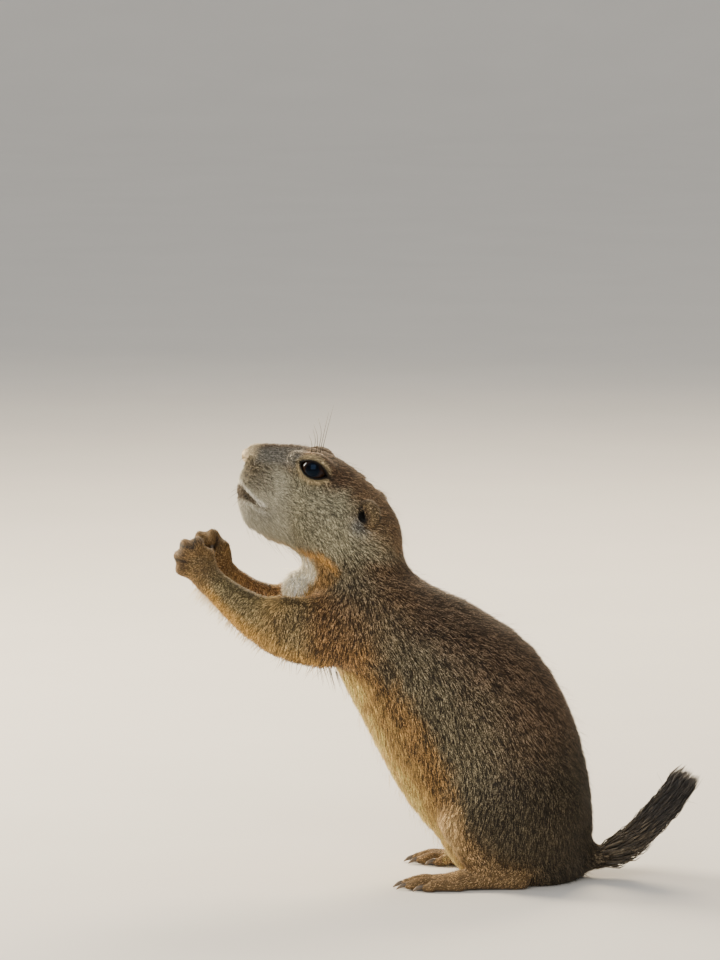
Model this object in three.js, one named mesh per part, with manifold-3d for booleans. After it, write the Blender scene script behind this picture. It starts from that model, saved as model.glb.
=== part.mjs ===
// A black-tailed prairie dog, life size, sitting up on its haunches with its head raised and its forepaws held out.
// Millimetres, +Z up. The nose points along -X, the animal's left side is at -Y, and the floor is z = 0.
// The origin is on the floor, on the flat that the rump sits on.
// The flesh is a smooth field of swept sections and rounded masses. It is turned into surfaces on a grid
// and parted by thin cuts into the named parts of the body. Paws, ears, claws and tail locks are lofted.
import * as THREE from "three";
import { mergeVertices } from "three/addons/utils/BufferGeometryUtils.js";
import Module from "manifold-3d";

const wasm = await Module();
wasm.setup();

// Driving sizes

const SEAM = 0.3; // gap between two parts that meet
const LEFT = -1; // the sign of y on the animal's left side
const RIGHT = 1;

// A station of a swept section: its centre, then its half sizes towards the back, the belly and the side.
const TRUNK = [
  { at: [-8.6, 0, 16.2], half: [30, 27, 35] },
  { at: [-15, 0, 26.1], half: [38.5, 33.5, 41] },
  { at: [-21.4, 0, 42.8], half: [43.2, 37.5, 43.5] },
  { at: [-28.5, 0, 61.8], half: [45.1, 44.7, 43] },
  { at: [-38.5, 0, 81.2], half: [44.2, 45.6, 41.5] },
  { at: [-48.9, 0, 96.9], half: [36, 43.7, 38.5] },
  { at: [-59.9, 0, 110.2], half: [27.5, 40.4, 35] },
  { at: [-72.7, 0, 122.6], half: [24.7, 34.2, 31.5] },
  { at: [-84.1, 0, 135.9], half: [21.9, 29.5, 27.5] },
  { at: [-89.8, 0, 147.3], half: [21.9, 23.8, 24] },
  { at: [-88.8, 0, 157.7], half: [16.4, 18, 21.5] },
  { at: [-88.6, 0, 166.6], half: [12, 17, 19.5] },
];
const SKULL = [
  { at: [-88.5, 0, 164.5], half: [18.5, 20, 20.5] },
  { at: [-96.9, 0, 171], half: [21.8, 22, 21.5] },
  { at: [-105.9, 0, 176.7], half: [24.2, 22.8, 20] },
  { at: [-115.4, 0, 181.5], half: [24.2, 22.8, 17] },
  { at: [-124.5, 0, 185.3], half: [22.6, 23.3, 14] },
  { at: [-131.6, 0, 188.6], half: [19.4, 20.9, 11.5] },
  { at: [-135.2, 0, 190.8], half: [15.6, 15.5, 9.2] },
  { at: [-138.4, 0, 192.8], half: [11.4, 11, 6] },
];
// A rounded mass of the head: its centre and half sizes on the left, the pitch of its long axis, nose end up.
const CHEEK = { at: [-103, 14.5, 169], half: [15, 8.5, 13], pitch: 25 };
const ORBIT = { at: [-108.6, 9.6, 193.6], half: [10.5, 6.4, 8], pitch: 24 };
const BROW = { at: [-111, 11, 198.8], half: [11, 5, 4.2], pitch: 20 };
const WHISKER_PAD = { at: [-137.2, 4.8, 188.6], half: [6.1, 5.8, 8.8], pitch: 20 };
const MUZZLE = { at: [-134.2, 0, 200.4], half: [9.2, 5.6, 6.6], pitch: 12 };
// The full breast between the arms.
const BREAST = { at: [-111, 0, 137.5], half: [13.5, 10, 11.5], pitch: 0 };
const BREAST_BLEND = 6;
const CHIN = { at: [-136.6, 0, 175.5], half: [8, 7, 8], pitch: 40 };
const HEAD_BLEND = 5;
const NECK_BLEND = 10;

// The arms stand apart at the shoulders and come together at the paws. The right paw is held a little nearer the chest.
const SHOULDER = [
  { at: [-76, 14, 124.5], half: [16, 17, 14] },
  { at: [-92.6, 22, 122.6], half: [16.5, 17, 12.5] },
  { at: [-107.8, 25, 121.6], half: [16.4, 16.4, 11] },
  { at: [-122, 26, 123], half: [14.4, 14.4, 10] },
];
const FOREARM = {
  [LEFT]: [
    { at: [-127.5, 24.5, 124.6], half: [12.4, 13, 9.6] },
    { at: [-135.6, 23.6, 128.4], half: [9.8, 11.4, 8.8] },
    { at: [-145.8, 20, 134.6], half: [7.5, 9.2, 7.5] },
    { at: [-154.9, 16, 141.4], half: [6.2, 7.6, 6.3] },
    { at: [-161.5, 12, 146.4], half: [5.8, 6.6, 5.2] },
  ],
  [RIGHT]: [
    { at: [-125.5, 24.5, 124.3], half: [12.4, 13, 9.6] },
    { at: [-133, 23.6, 127], half: [9.8, 11.4, 8.8] },
    { at: [-142, 20, 132.4], half: [7.5, 9.2, 7.5] },
    { at: [-149.8, 16, 139.2], half: [6.2, 7.6, 6.3] },
    { at: [-156, 11.5, 144.8], half: [5.8, 6.6, 5.2] },
  ],
};
const ARM_BLEND = 12;

const THIGH = [
  { at: [-4, 22, 38], half: [22, 23, 21] },
  { at: [-17, 28, 36], half: [23, 24, 20] },
  { at: [-30, 32.5, 33.5], half: [14, 15, 13] },
  { at: [-36.5, 34, 31.5], half: [9, 9, 9] },
];
const THIGH_BLEND = 10;
const SHANK = [
  { at: [-37, 34.5, 29], half: [8, 8, 7.5] },
  { at: [-32, 35, 18], half: [7.5, 7.5, 7] },
  { at: [-24, 34.5, 9], half: [6, 6, 6] },
];
const TAIL = [
  { at: [-6, 0, 14], half: [10, 10, 13] },
  { at: [12, 0, 11.5], half: [8.5, 8.5, 11] },
  { at: [26, 0.5, 10.5], half: [6.6, 6.6, 8.6] },
  { at: [36, 1, 14.5], half: [5.4, 5.4, 7.4] },
  { at: [46.5, 2, 23], half: [4.6, 4.6, 6.4] },
];
const TAIL_BLEND = 8;

// The grid's cell for each part of the body.
const CELL = { trunk: 8.6, limb: 5.5, head: 4.5, foot: 4.6 };
const FLOOR = 0;

// Where the body is parted: a point of the cut and the way that it faces, towards the tail or the paws.
const CUTS = {
  head: { at: [-89.3, 0, 161], facing: [0.524, 0, -0.852] },
  neck: { at: [-86, 0, 139], facing: [0, 0, -1] },
  chest: { at: [-54.5, 0, 103.5], facing: [0.594, 0, -0.805] },
  loin: { at: [-33, 0, 71], facing: [0.45, 0, -0.893] },
  tail: { at: [24, 0, 10], facing: [1, 0, 0] },
  brush: { at: [45, 0, 21.5], facing: [0.78, 0, 0.63] },
  elbow: { at: [-127.5, 0, 124.6], facing: [-0.93, 0, 0.37] },
};

// Fields: each is negative inside and near to a distance in millimetres

const vec = (a) => new THREE.Vector3(...a);
const mirrored = (stations, side) =>
  stations.map((s) => ({ ...s, at: [s.at[0], s.at[1] * side, s.at[2]] }));

// How far a point lies from an ellipsoid, from its offsets and the half sizes along three axes.
function ellipsoidDistance(x, y, z, a, b, c) {
  const near = Math.hypot(x / a, y / b, z / c);
  const slope = Math.hypot(x / (a * a), y / (b * b), z / (c * c));
  return slope > 0 ? (near * (near - 1)) / slope : -Math.min(a, b, c);
}

// A section swept through its stations, closed by a dome at each end. Its side lies nearest to the Y axis.
function sweep(stations, steps = 3) {
  const path = new THREE.CatmullRomCurve3(stations.map((s) => vec(s.at)));
  const girth = new THREE.CatmullRomCurve3(stations.map((s) => vec(s.half)));
  const count = (stations.length - 1) * steps;
  const pieces = [];
  for (let i = 0; i < count; i++) {
    const from = path.getPoint(i / count);
    const along = path.getPoint((i + 1) / count).sub(from);
    const length = along.length();
    along.normalize();
    const back = new THREE.Vector3().crossVectors(new THREE.Vector3(0, 1, 0), along).normalize();
    const side = new THREE.Vector3().crossVectors(along, back);
    const sizes = [girth.getPoint(i / count), girth.getPoint((i + 1) / count)];
    pieces.push({ from, along, length, back, side, sizes });
  }
  return (x, y, z) => {
    let least = Infinity;
    for (const { from, along, length, back, side, sizes } of pieces) {
      const dx = x - from.x,
        dy = y - from.y,
        dz = z - from.z;
      const run = dx * along.x + dy * along.y + dz * along.z;
      const t = Math.min(1, Math.max(0, run / length));
      const u = dx * back.x + dy * back.y + dz * back.z;
      const v = dx * side.x + dy * side.y + dz * side.z;
      const w = run - t * length;
      const up = sizes[0].x + (sizes[1].x - sizes[0].x) * t;
      const down = sizes[0].y + (sizes[1].y - sizes[0].y) * t;
      const wide = sizes[0].z + (sizes[1].z - sizes[0].z) * t;
      const deep = u > 0 ? up : down;
      least = Math.min(least, ellipsoidDistance(u, v, w, deep, wide, Math.min(deep, wide)));
    }
    return least;
  };
}

// A rounded mass, pitched about the Y axis.
function mass({ at, half, pitch }, side = 1) {
  const c = Math.cos(THREE.MathUtils.degToRad(pitch)),
    s = Math.sin(THREE.MathUtils.degToRad(pitch));
  return (x, y, z) => {
    const dx = x - at[0],
      dz = z - at[2];
    return ellipsoidDistance(dx * c - dz * s, y - at[1] * side, dx * s + dz * c, ...half);
  };
}

// The smooth union of fields, rounded over a width.
function blend(width, ...fields) {
  return (x, y, z) =>
    fields.reduce((a, field) => {
      const b = field(x, y, z);
      const share = Math.max(width - Math.abs(a - b), 0) / width;
      return Math.min(a, b) - (share * share * width) / 4;
    }, Infinity);
}


const grown = (field, by) => (x, y, z) => field(x, y, z) - by;

function slope(field, p, step = 0.05) {
  const d = new THREE.Vector3(
    field(p.x + step, p.y, p.z) - field(p.x - step, p.y, p.z),
    field(p.x, p.y + step, p.z) - field(p.x, p.y - step, p.z),
    field(p.x, p.y, p.z + step) - field(p.x, p.y, p.z - step),
  );
  return d.divideScalar(2 * step);
}

// Surfaces: a field becomes a closed mesh, one point in each cell of the grid that the skin passes through

function skin(field, low, high, cell) {
  const size = low.map((v, i) => Math.ceil((high[i] - v) / cell) + 1);
  const node = (i, j, k) => (k * size[1] + j) * size[0] + i;
  const middle = low.map((v, i) => v + ((size[i] - 1) * cell) / 2);
  const reach = size.map((n) => ((n - 1) / 2 - 1.2) * cell);
  const kept = (x, y, z) =>
    Math.max(
      field(x, y, z),
      Math.abs(x - middle[0]) - reach[0],
      Math.abs(y - middle[1]) - reach[1],
      Math.abs(z - middle[2]) - reach[2],
    );
  const values = new Float64Array(size[0] * size[1] * size[2]);
  for (let k = 0; k < size[2]; k++)
    for (let j = 0; j < size[1]; j++)
      for (let i = 0; i < size[0]; i++)
        values[node(i, j, k)] = kept(low[0] + i * cell, low[1] + j * cell, low[2] + k * cell);

  const corners = [];
  for (let c = 0; c < 8; c++) corners.push([c & 1, (c >> 1) & 1, (c >> 2) & 1]);
  const points = [];
  const pointOf = new Map();
  for (let k = 0; k < size[2] - 1; k++)
    for (let j = 0; j < size[1] - 1; j++)
      for (let i = 0; i < size[0] - 1; i++) {
        const v = corners.map(([a, b, c]) => values[node(i + a, j + b, k + c)]);
        if (v.every((w) => w < 0) || v.every((w) => w >= 0)) continue;
        const sum = new THREE.Vector3();
        let count = 0;
        for (let p = 0; p < 8; p++)
          for (const bit of [1, 2, 4]) {
            const q = p | bit;
            if (q === p || v[p] < 0 === v[q] < 0) continue;
            sum.add(vec(corners[p]).lerp(vec(corners[q]), v[p] / (v[p] - v[q])));
            count += 1;
          }
        const local = sum.divideScalar(count);
        const start = new THREE.Vector3(i + local.x, j + local.y, k + local.z).multiplyScalar(cell).add(vec(low));
        const point = start.clone();
        for (let step = 0; step < 3; step++) {
          const grade = slope(kept, point);
          point.addScaledVector(grade, -kept(point.x, point.y, point.z) / Math.max(grade.lengthSq(), 0.2));
        }
        if (point.distanceTo(start) > 0.5 * cell) point.sub(start).setLength(0.5 * cell).add(start);
        pointOf.set(node(i, j, k), points.length);
        points.push(point);
      }

  const faces = [];
  const offsets = [1, size[0], size[0] * size[1]];
  for (let k = 1; k < size[2] - 1; k++)
    for (let j = 1; j < size[1] - 1; j++)
      for (let i = 1; i < size[0] - 1; i++)
        for (let axis = 0; axis < 3; axis++) {
          const here = node(i, j, k);
          const inside = values[here] < 0;
          if (inside === values[here + offsets[axis]] < 0) continue;
          const a = offsets[(axis + 1) % 3],
            b = offsets[(axis + 2) % 3];
          const quad = [here - a - b, here - b, here, here - a].map((n) => pointOf.get(n));
          if (!inside) quad.reverse();
          const [p, q, r, t] = quad.map((n) => points[n]);
          if (p.distanceTo(r) < q.distanceTo(t)) faces.push(quad[0], quad[1], quad[2], quad[0], quad[2], quad[3]);
          else faces.push(quad[1], quad[2], quad[3], quad[1], quad[3], quad[0]);
        }
  return fromArrays(points.flatMap((p) => p.toArray()), faces);
}

// Solids

function fromArrays(positions, faces) {
  return new wasm.Manifold(
    new wasm.Mesh({ numProp: 3, vertProperties: new Float32Array(positions), triVerts: new Uint32Array(faces) }),
  );
}

function toSolid(geometry) {
  const bare = new THREE.BufferGeometry();
  bare.setAttribute("position", geometry.getAttribute("position"));
  bare.setIndex(geometry.getIndex());
  const merged = mergeVertices(bare, 1e-4);
  return fromArrays([...merged.getAttribute("position").array], [...merged.getIndex().array]);
}

const largest = (solid) => solid.decompose().sort((a, b) => b.volume() - a.volume())[0];

const ball = (radius, at, half = [1, 1, 1], detail = 16) =>
  toSolid(new THREE.SphereGeometry(radius, detail, Math.round(detail * 0.7)))
    .rotate([90, 0, 0])
    .scale(half)
    .translate(at);

// Rings of points, joined in order and closed by a flat at each end.
function loft(rings) {
  const n = rings[0].length;
  const faces = [];
  for (let r = 0; r < rings.length - 1; r++)
    for (let i = 0; i < n; i++) {
      const a = r * n + i,
        b = r * n + ((i + 1) % n);
      faces.push(a, b, b + n, a, b + n, a + n);
    }
  const last = (rings.length - 1) * n;
  for (let i = 1; i < n - 1; i++) faces.push(0, i + 1, i, last, last + i, last + i + 1);
  const solid = fromArrays(rings.flat().flatMap((p) => p.toArray()), faces);
  return solid;
}

// A bent limb of round section: points along it, a radius at each, and how flat and which way it lies.
function tube(points, radii, { sides = 8, flat = 1, up = [0, 0, 1] } = {}) {
  const path = new THREE.CatmullRomCurve3(points.map(vec));
  const rings = radii.map((radius, r) => {
    const t = r / (radii.length - 1);
    const along = path.getTangent(t);
    const side = new THREE.Vector3().crossVectors(along, vec(up)).normalize();
    const top = new THREE.Vector3().crossVectors(side, along);
    const centre = path.getPoint(t);
    return Array.from({ length: sides }, (_, i) => {
      const turn = (i / sides) * 2 * Math.PI;
      return centre
        .clone()
        .addScaledVector(side, radius * Math.cos(turn))
        .addScaledVector(top, radius * flat * Math.sin(turn));
    });
  });
  const solid = loft(rings);
  return solid.volume() > 0 ? solid : loft(rings.map((ring) => ring.reverse()));
}

// The half space behind or in front of a cut, kept half a seam away from it.
const offset = ({ at, facing }) => vec(at).dot(vec(facing).normalize());
const unit = ({ facing }) => vec(facing).normalize().toArray();
const ahead = (solid, cut) => solid.trimByPlane(unit(cut), offset(cut) + SEAM / 2);
const behind = (solid, cut) =>
  solid.trimByPlane(unit(cut).map((v) => -v), -offset(cut) + SEAM / 2);

// A block that lies ahead of every cut, grown or shrunk by a distance.
const block = (cuts, by) =>
  cuts.reduce(
    (solid, cut) => solid.trimByPlane(unit(cut), offset(cut) - by),
    toSolid(new THREE.BoxGeometry(600, 600, 600)),
  );

// The body's fields

const both = (make) => [make(LEFT), make(RIGHT)];
const trunk = sweep(TRUNK);
const shoulders = blend(2, ...both((side) => sweep(mirrored(SHOULDER, side))));
const thighs = blend(2, ...both((side) => sweep(mirrored(THIGH, side))));
const flesh = blend(BREAST_BLEND, blend(THIGH_BLEND, blend(ARM_BLEND, trunk, shoulders), thighs), mass(BREAST));
const skull = blend(
  HEAD_BLEND,
  sweep(SKULL),
  ...both((side) => mass(CHEEK, side)),
  ...both((side) => mass(ORBIT, side)),
  ...both((side) => mass(BROW, side)),
);
const face = blend(2.5, skull, ...both((side) => mass(WHISKER_PAD, side)), mass(MUZZLE), mass(CHIN));
const body = blend(NECK_BLEND, flesh, face);
const seat = blend(TAIL_BLEND, flesh, sweep(TAIL));
const whole = blend(NECK_BLEND, seat, face);
const arm = (side) => blend(6, flesh, sweep(mirrored(FOREARM[side], side)));

// The trunk

const hull = skin(whole, [-134, -63, -24], [54, 63, 196], CELL.trunk);

// The haunch is parted from the rump by a rounded cut that shows as an oval on the side.
const HAUNCH = { at: [-18, 62, 34], half: [47, 38, 37] };
const haunch = (side, by) =>
  ball(1, [0, 0, 0], [1, 1, 1], 18)
    .scale(HAUNCH.half.map((h) => h + by))
    .translate([HAUNCH.at[0], HAUNCH.at[1] * side, HAUNCH.at[2]]);

// The arm is parted from the breast by two flats that meet at an edge.
const armRoom = (side) => [
  { at: [-97, 0, 0], facing: [-1, 0, 0] },
  { at: [-97, 12.5 * side, 0], facing: [-0.27, side * 0.96, 0] },
  { at: [-97, 0, 139], facing: [-0.33, 0, -0.944] },
];

function neck() {
  let solid = ahead(behind(hull, CUTS.neck), CUTS.head);
  for (const side of [LEFT, RIGHT]) solid = solid.subtract(block(armRoom(side), SEAM / 2));
  return largest(solid);
}

function chest() {
  let solid = behind(ahead(hull, CUTS.neck), CUTS.chest);
  for (const side of [LEFT, RIGHT]) solid = solid.subtract(block(armRoom(side), SEAM / 2));
  return largest(solid);
}

function abdomen() {
  return largest(behind(ahead(hull, CUTS.chest), CUTS.loin));
}

function rump(feet) {
  let solid = behind(ahead(hull, CUTS.loin), CUTS.tail).trimByPlane([0, 0, 1], FLOOR);
  for (const side of [LEFT, RIGHT]) solid = solid.subtract(haunch(side, SEAM));
  for (const foot of feet) solid = solid.subtract(foot);
  return largest(solid);
}

function thigh(side, feet) {
  let solid = ahead(hull, CUTS.loin).intersect(haunch(side, 0)).trimByPlane([0, 0, 1], FLOOR);
  for (const foot of feet) solid = solid.subtract(foot);
  return largest(solid);
}

// The head

const EYE = { at: [-108.4, 13, 196.6], radius: 6.6 };
const LID = { long: 6.5, high: 4.5, over: 7.2, thick: 1.1, slant: -33, ball: 7.3 };
const EAR = { at: [-83.4, 20.7, 176], half: [6, 4.2, 7], slant: -18, splay: 27 };
const NOSE = { at: [-141.2, 0, 201.2], half: [3.1, 3.7, 3.5] };
const NOSTRIL = { at: [-144.2, 2.1, 200.5], half: [2, 0.8, 1.2] };
const MOUTH = { front: [-142, 182.6], bend: [-138, 180.8], corner: [-133.6, 177.6], open: 0.9, deep: 2.4 };

// An almond ridge round the eye. Each point lies on a ball a little larger than the eye.
function lid(side) {
  const turn = THREE.MathUtils.degToRad(LID.slant);
  const ring = (t, over, thick) => {
    const a = LID.long * Math.cos(t) * (1 + 0.06 * Math.cos(2 * t)),
      b = LID.high * Math.sin(t);
    const deep = Math.sqrt(Math.max(over * over - a * a - b * b, 0.5));
    const centre = new THREE.Vector3(
      EYE.at[0] + a * Math.cos(turn) - b * Math.sin(turn),
      side * (EYE.at[1] + deep),
      EYE.at[2] + a * Math.sin(turn) + b * Math.cos(turn),
    );
    const out = centre.clone().sub(new THREE.Vector3(EYE.at[0], side * EYE.at[1], EYE.at[2])).normalize();
    return { centre, out, thick };
  };
  const count = 18,
    sides = 6;
  const positions = [],
    faces = [];
  for (let r = 0; r < count; r++) {
    const { centre, out, thick } = ring((r / count) * 2 * Math.PI, LID.over, LID.thick);
    const ahead = ring(((r + 0.1) / count) * 2 * Math.PI, LID.over, LID.thick).centre.sub(centre).normalize();
    const across = new THREE.Vector3().crossVectors(out, ahead).normalize();
    for (let i = 0; i < sides; i++) {
      const turned = (i / sides) * 2 * Math.PI;
      const p = centre
        .clone()
        .addScaledVector(out, thick * Math.cos(turned))
        .addScaledVector(across, thick * Math.sin(turned));
      positions.push(...p.toArray());
    }
  }
  for (let r = 0; r < count; r++)
    for (let i = 0; i < sides; i++) {
      const a = r * sides + i,
        b = r * sides + ((i + 1) % sides),
        c = ((r + 1) % count) * sides + ((i + 1) % sides),
        d = ((r + 1) % count) * sides + i;
      faces.push(a, b, c, a, c, d);
    }
  const solid = fromArrays(positions, faces);
  return solid.volume() > 0 ? solid : fromArrays(positions, faces.reverse());
}

// The stiff hairs over each eye, on the left: each one's root in the brow, its bend and its tip.
const BROW_HAIRS = [
  [[-110.6, 6.8, 202], [-110, 9.6, 208], [-111.4, 11.6, 213]],
  [[-108.6, 7, 202], [-107.2, 10.4, 211], [-108.9, 12.6, 218]],
  [[-106.8, 7, 201.8], [-104.2, 10.4, 213.5], [-101.6, 13.4, 224]],
];
const BROW_HAIR_RADII = [0.5, 0.45, 0.36, 0.2];

const browHair = (points, side) =>
  tube(points.map(([x, y, z]) => [x, y * side, z]), BROW_HAIR_RADII, { sides: 4, up: [1, 0, 0] });

// The almond between the lids, carried outwards from the eye.
function opening(side) {
  const turn = THREE.MathUtils.degToRad(LID.slant);
  const rings = [3, 12].map((out) =>
    Array.from({ length: 16 }, (_, i) => {
      const t = (i / 16) * 2 * Math.PI;
      const a = (LID.long - 0.9) * Math.cos(t);
      const b = (LID.high - 0.9) * Math.sin(t);
      return new THREE.Vector3(
        EYE.at[0] + a * Math.cos(turn) - b * Math.sin(turn),
        side * (EYE.at[1] + out),
        EYE.at[2] + a * Math.sin(turn) + b * Math.cos(turn),
      );
    }),
  );
  const solid = loft(rings);
  return solid.volume() > 0 ? solid : loft(rings.map((ring) => ring.reverse()));
}

const eye = (side) => ball(EYE.radius, [EYE.at[0], EYE.at[1] * side, EYE.at[2]], [1, 1, 1], 12);

// The slit between the lips: a thin curved sheet that reaches a little way in from the skin.
function mouth() {
  const line = [MOUTH.front, MOUTH.bend, MOUTH.corner];
  const ahead = [line[0][0] - 8, line[0][1] + 1.6];
  const rings = [ahead, ...line].map(([x, z], i) => {
    const half = (i === line.length ? 0.25 : MOUTH.open / 2);
    return [
      [x, -16, z - half],
      [x, 16, z - half],
      [x, 16, z + half],
      [x, -16, z + half],
    ].map(vec);
  });
  const sheet = loft(rings);
  const core = skin(grown(face, -MOUTH.deep), [-150, -14, 160], [-124, 14, 206], 3);
  return (sheet.volume() > 0 ? sheet : loft(rings.map((ring) => ring.reverse()))).subtract(core);
}

function nose() {
  let solid = ball(1, [0, 0, 0], [1, 1, 1], 12).scale(NOSE.half).translate(NOSE.at);
  for (const side of [LEFT, RIGHT])
    solid = solid.subtract(
      ball(1, [0, 0, 0], [1, 1, 1], 8).scale(NOSTRIL.half).rotate([0, 20, side * -28])
        .translate([NOSTRIL.at[0], NOSTRIL.at[1] * side, NOSTRIL.at[2]]),
    );
  return solid;
}

function head(socket) {
  let solid = skin(body, [-152, -34, 140], [-66, 34, 212], CELL.head);
  for (const side of [LEFT, RIGHT]) {
    solid = solid.add(ball(LID.ball, [EYE.at[0], EYE.at[1] * side, EYE.at[2]], [1, 1, 1], 12)).add(lid(side));
    for (const hair of BROW_HAIRS) solid = solid.add(browHair(hair, side));
    solid = solid
      .subtract(ball(EYE.radius + SEAM, [EYE.at[0], EYE.at[1] * side, EYE.at[2]], [1, 1, 1], 12))
      .subtract(opening(side));
  }
  return largest(behind(solid, CUTS.head).subtract(mouth()).subtract(socket));
}

// The outer ear: a low cup that opens forwards and out.
function ear(side, skinOfHead) {
  const [a, b, c] = EAR.half;
  const cup = ball(1, [0, 0, 0], [1, 1, 1], 12).scale([a, b, c]);
  const scoop = ball(1, [0, 0, 0], [1, 1, 1], 10).scale([a * 0.72, b * 0.8, c * 0.62]).translate([-a * 0.55, side * b * 0.66, -0.3]);
  return largest(
    cup
      .subtract(scoop)
      .rotate([0, EAR.slant, side * EAR.splay])
      .translate([EAR.at[0], EAR.at[1] * side, EAR.at[2]])
      .subtract(skinOfHead),
  );
}

// The limbs

const WRIST = {
  [LEFT]: { at: [-160.5, -12.5, 145.5], facing: [-0.74, 0.3, 0.6] },
  [RIGHT]: { at: [-155, 12, 144], facing: [-0.72, -0.32, 0.62] },
};

const armSkin = (side) =>
  skin(arm(side), [-178, side < 0 ? -48 : -2, 90], [-84, side < 0 ? 2 : 48, 166], CELL.limb);

function upperArm(side, whole) {
  return largest(behind(whole.intersect(block(armRoom(side), -SEAM / 2)), CUTS.elbow));
}

function forearm(side, whole) {
  return largest(behind(ahead(whole.intersect(block(armRoom(side), -SEAM / 2)), CUTS.elbow), WRIST[side]));
}

// The paw is curled in, so that its claws lie out of sight against the pads. Sizes are of the left paw.
const PAW = {
  palm: [-164.6, -10.4, 150.8],
  half: [9, 4.9, 8.8],
  knuckles: [
    [-171.8, -11, 147.8],
    [-172.6, -11, 153.6],
    [-169.9, -11, 158.6],
    [-164.6, -11, 159.6],
  ],
  thumb: [-159, -8, 154.8],
};
const RIGHT_PAW_SHIFT = [5.5, 0, 1.6];

const place = (p, side) =>
  side < 0 ? p : [p[0] + RIGHT_PAW_SHIFT[0], -p[1] + RIGHT_PAW_SHIFT[1], p[2] + RIGHT_PAW_SHIFT[2]];

// The joints of one curled digit, from the palm to the tip.
function digitJoints(knuckle, side) {
  const c = vec(PAW.palm),
    k = vec(knuckle);
  const ray = k.clone().sub(c);
  ray.y = 0;
  const at = (share, y) => [c.x + ray.x * share, y, c.z + ray.z * share];
  return [at(0.15, -12.2), at(0.72, -12), at(1.03, -9.4), at(1, -6.2), at(0.7, -4)].map((p) => place(p, side));
}

function clawJoints(knuckle, side) {
  const c = vec(PAW.palm),
    k = vec(knuckle);
  const ray = k.clone().sub(c);
  ray.y = 0;
  const at = (share, y) => [c.x + ray.x * share, y, c.z + ray.z * share];
  return [at(0.66, -3.9), at(0.4, -3), at(0.06, -3.2)].map((p) => place(p, side));
}

const digitEnd = (points) => {
  const n = points.length;
  return { at: points[n - 1], facing: vec(points[n - 1]).sub(vec(points[n - 2])).toArray() };
};

function paw(side) {
  const wrist = WRIST[side];
  let solid = ball(1, [0, 0, 0], [1, 1, 1], 11).scale(PAW.half).rotate([0, 40, 0]).translate(place(PAW.palm, side));
  const start = vec(wrist.at).addScaledVector(vec(wrist.facing), -4).toArray();
  const palm = place(PAW.palm, side);
  const middle = wrist.at.map((v, i) => 0.6 * v + 0.4 * palm[i]);
  solid = solid.add(tube([start, wrist.at, middle, palm], [6.9, 6.9, 6.8, 6.4, 4], { sides: 10, flat: 0.84, up: [0.6, 0, 0.8] }));
  for (const knuckle of PAW.knuckles) {
    const joints = digitJoints(knuckle, side);
    solid = solid.add(tube(joints, [2.6, 2.8, 2.9, 2.7, 2.3, 1.5], { sides: 6, up: [0.5, 0, 0.85] }));
  }
  const thumb = place(PAW.thumb, side);
  const root = palm.map((v, i) => 0.55 * v + 0.45 * thumb[i]);
  solid = solid.add(tube([root, thumb, [thumb[0] + 0.6, thumb[1] - side * 2, thumb[2] + 0.8]], [2.2, 2, 1.7, 0.8], { sides: 6 }));
  return largest(ahead(solid, wrist));
}

function pawClaw(knuckle, side, flesh) {
  return largest(tube(clawJoints(knuckle, side), [0.95, 0.8, 0.25], { sides: 5, up: [0.5, 0, 0.85] }).subtract(flesh));
}

// The foot lies flat, with five digits spread a little.
const FOOT = {
  heel: [-9, 33.5, 5],
  digits: [
    { root: [-42, 27.5], tip: [-53, 25.5], radius: 2.5 },
    { root: [-46, 31], tip: [-61, 30], radius: 2.8 },
    { root: [-47, 35], tip: [-63.5, 35.2], radius: 2.9 },
    { root: [-46, 39], tip: [-61.5, 40.6], radius: 2.8 },
    { root: [-42, 42.5], tip: [-53.5, 45.2], radius: 2.5 },
  ],
};

function footSkin(side, by) {
  const sole = sweep(
    mirrored(
      [
        { at: [-10, 33.5, 4.4], half: [5.6, 5.6, 5.2] },
        { at: [-22, 34, 4.6], half: [6.4, 5.4, 6.2] },
        { at: [-36, 34.8, 3.6], half: [5.6, 4.6, 8.2] },
        { at: [-46, 35, 2.4], half: [4.2, 3.4, 8.8] },
      ],
      side,
    ),
  );
  const ankle = sweep(mirrored([SHANK[2], { at: [-19, 34, 6], half: [6, 6, 5.6] }], side));
  const field = blend(4, sole, ankle);
  return skin(grown(field, by), [-64, side < 0 ? -50 : 18, -8], [6, side < 0 ? -18 : 50, 26], CELL.foot);
}

const SHANK_CUT = { at: [-26, 0, 12.5], facing: [0.35, 0, -0.94] };
const floorCut = (solid) => solid.trimByPlane([0, 0, 1], FLOOR);

function footDigit({ root, tip, radius }, side, by = 0) {
  const high = radius - 0.4;
  const middle = [(root[0] * 0.45 + tip[0] * 0.55), (root[1] + tip[1]) / 2];
  return tube(
    [
      [root[0] + 5, side * root[1], high],
      [middle[0], side * middle[1], high + 0.9],
      [tip[0] + 2.8, side * tip[1], high],
      [tip[0], side * tip[1], high - 0.2],
    ],
    [radius * 0.85, radius, radius * 1.05, radius, radius * 0.55].map((r) => r + by),
    { sides: 6 },
  );
}

function foot(side) {
  let solid = ahead(footSkin(side, 0), SHANK_CUT);
  for (const digit of FOOT.digits) solid = solid.add(footDigit(digit, side));
  return largest(floorCut(solid));
}

function footRoom(side) {
  let solid = footSkin(side, SEAM);
  for (const digit of FOOT.digits) solid = solid.add(footDigit(digit, side, SEAM));
  return solid;
}

function footClaw({ tip, radius }, side, flesh) {
  const high = radius + 0.1;
  return largest(
    tube(
      [
        [tip[0] + 1, side * tip[1], high],
        [tip[0] - 3.2, side * tip[1], high],
        [tip[0] - 6.4, side * tip[1], high - 1.7],
      ],
      [1.15, 0.95, 0.3],
      { sides: 5 },
    ).subtract(flesh),
  );
}

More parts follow.
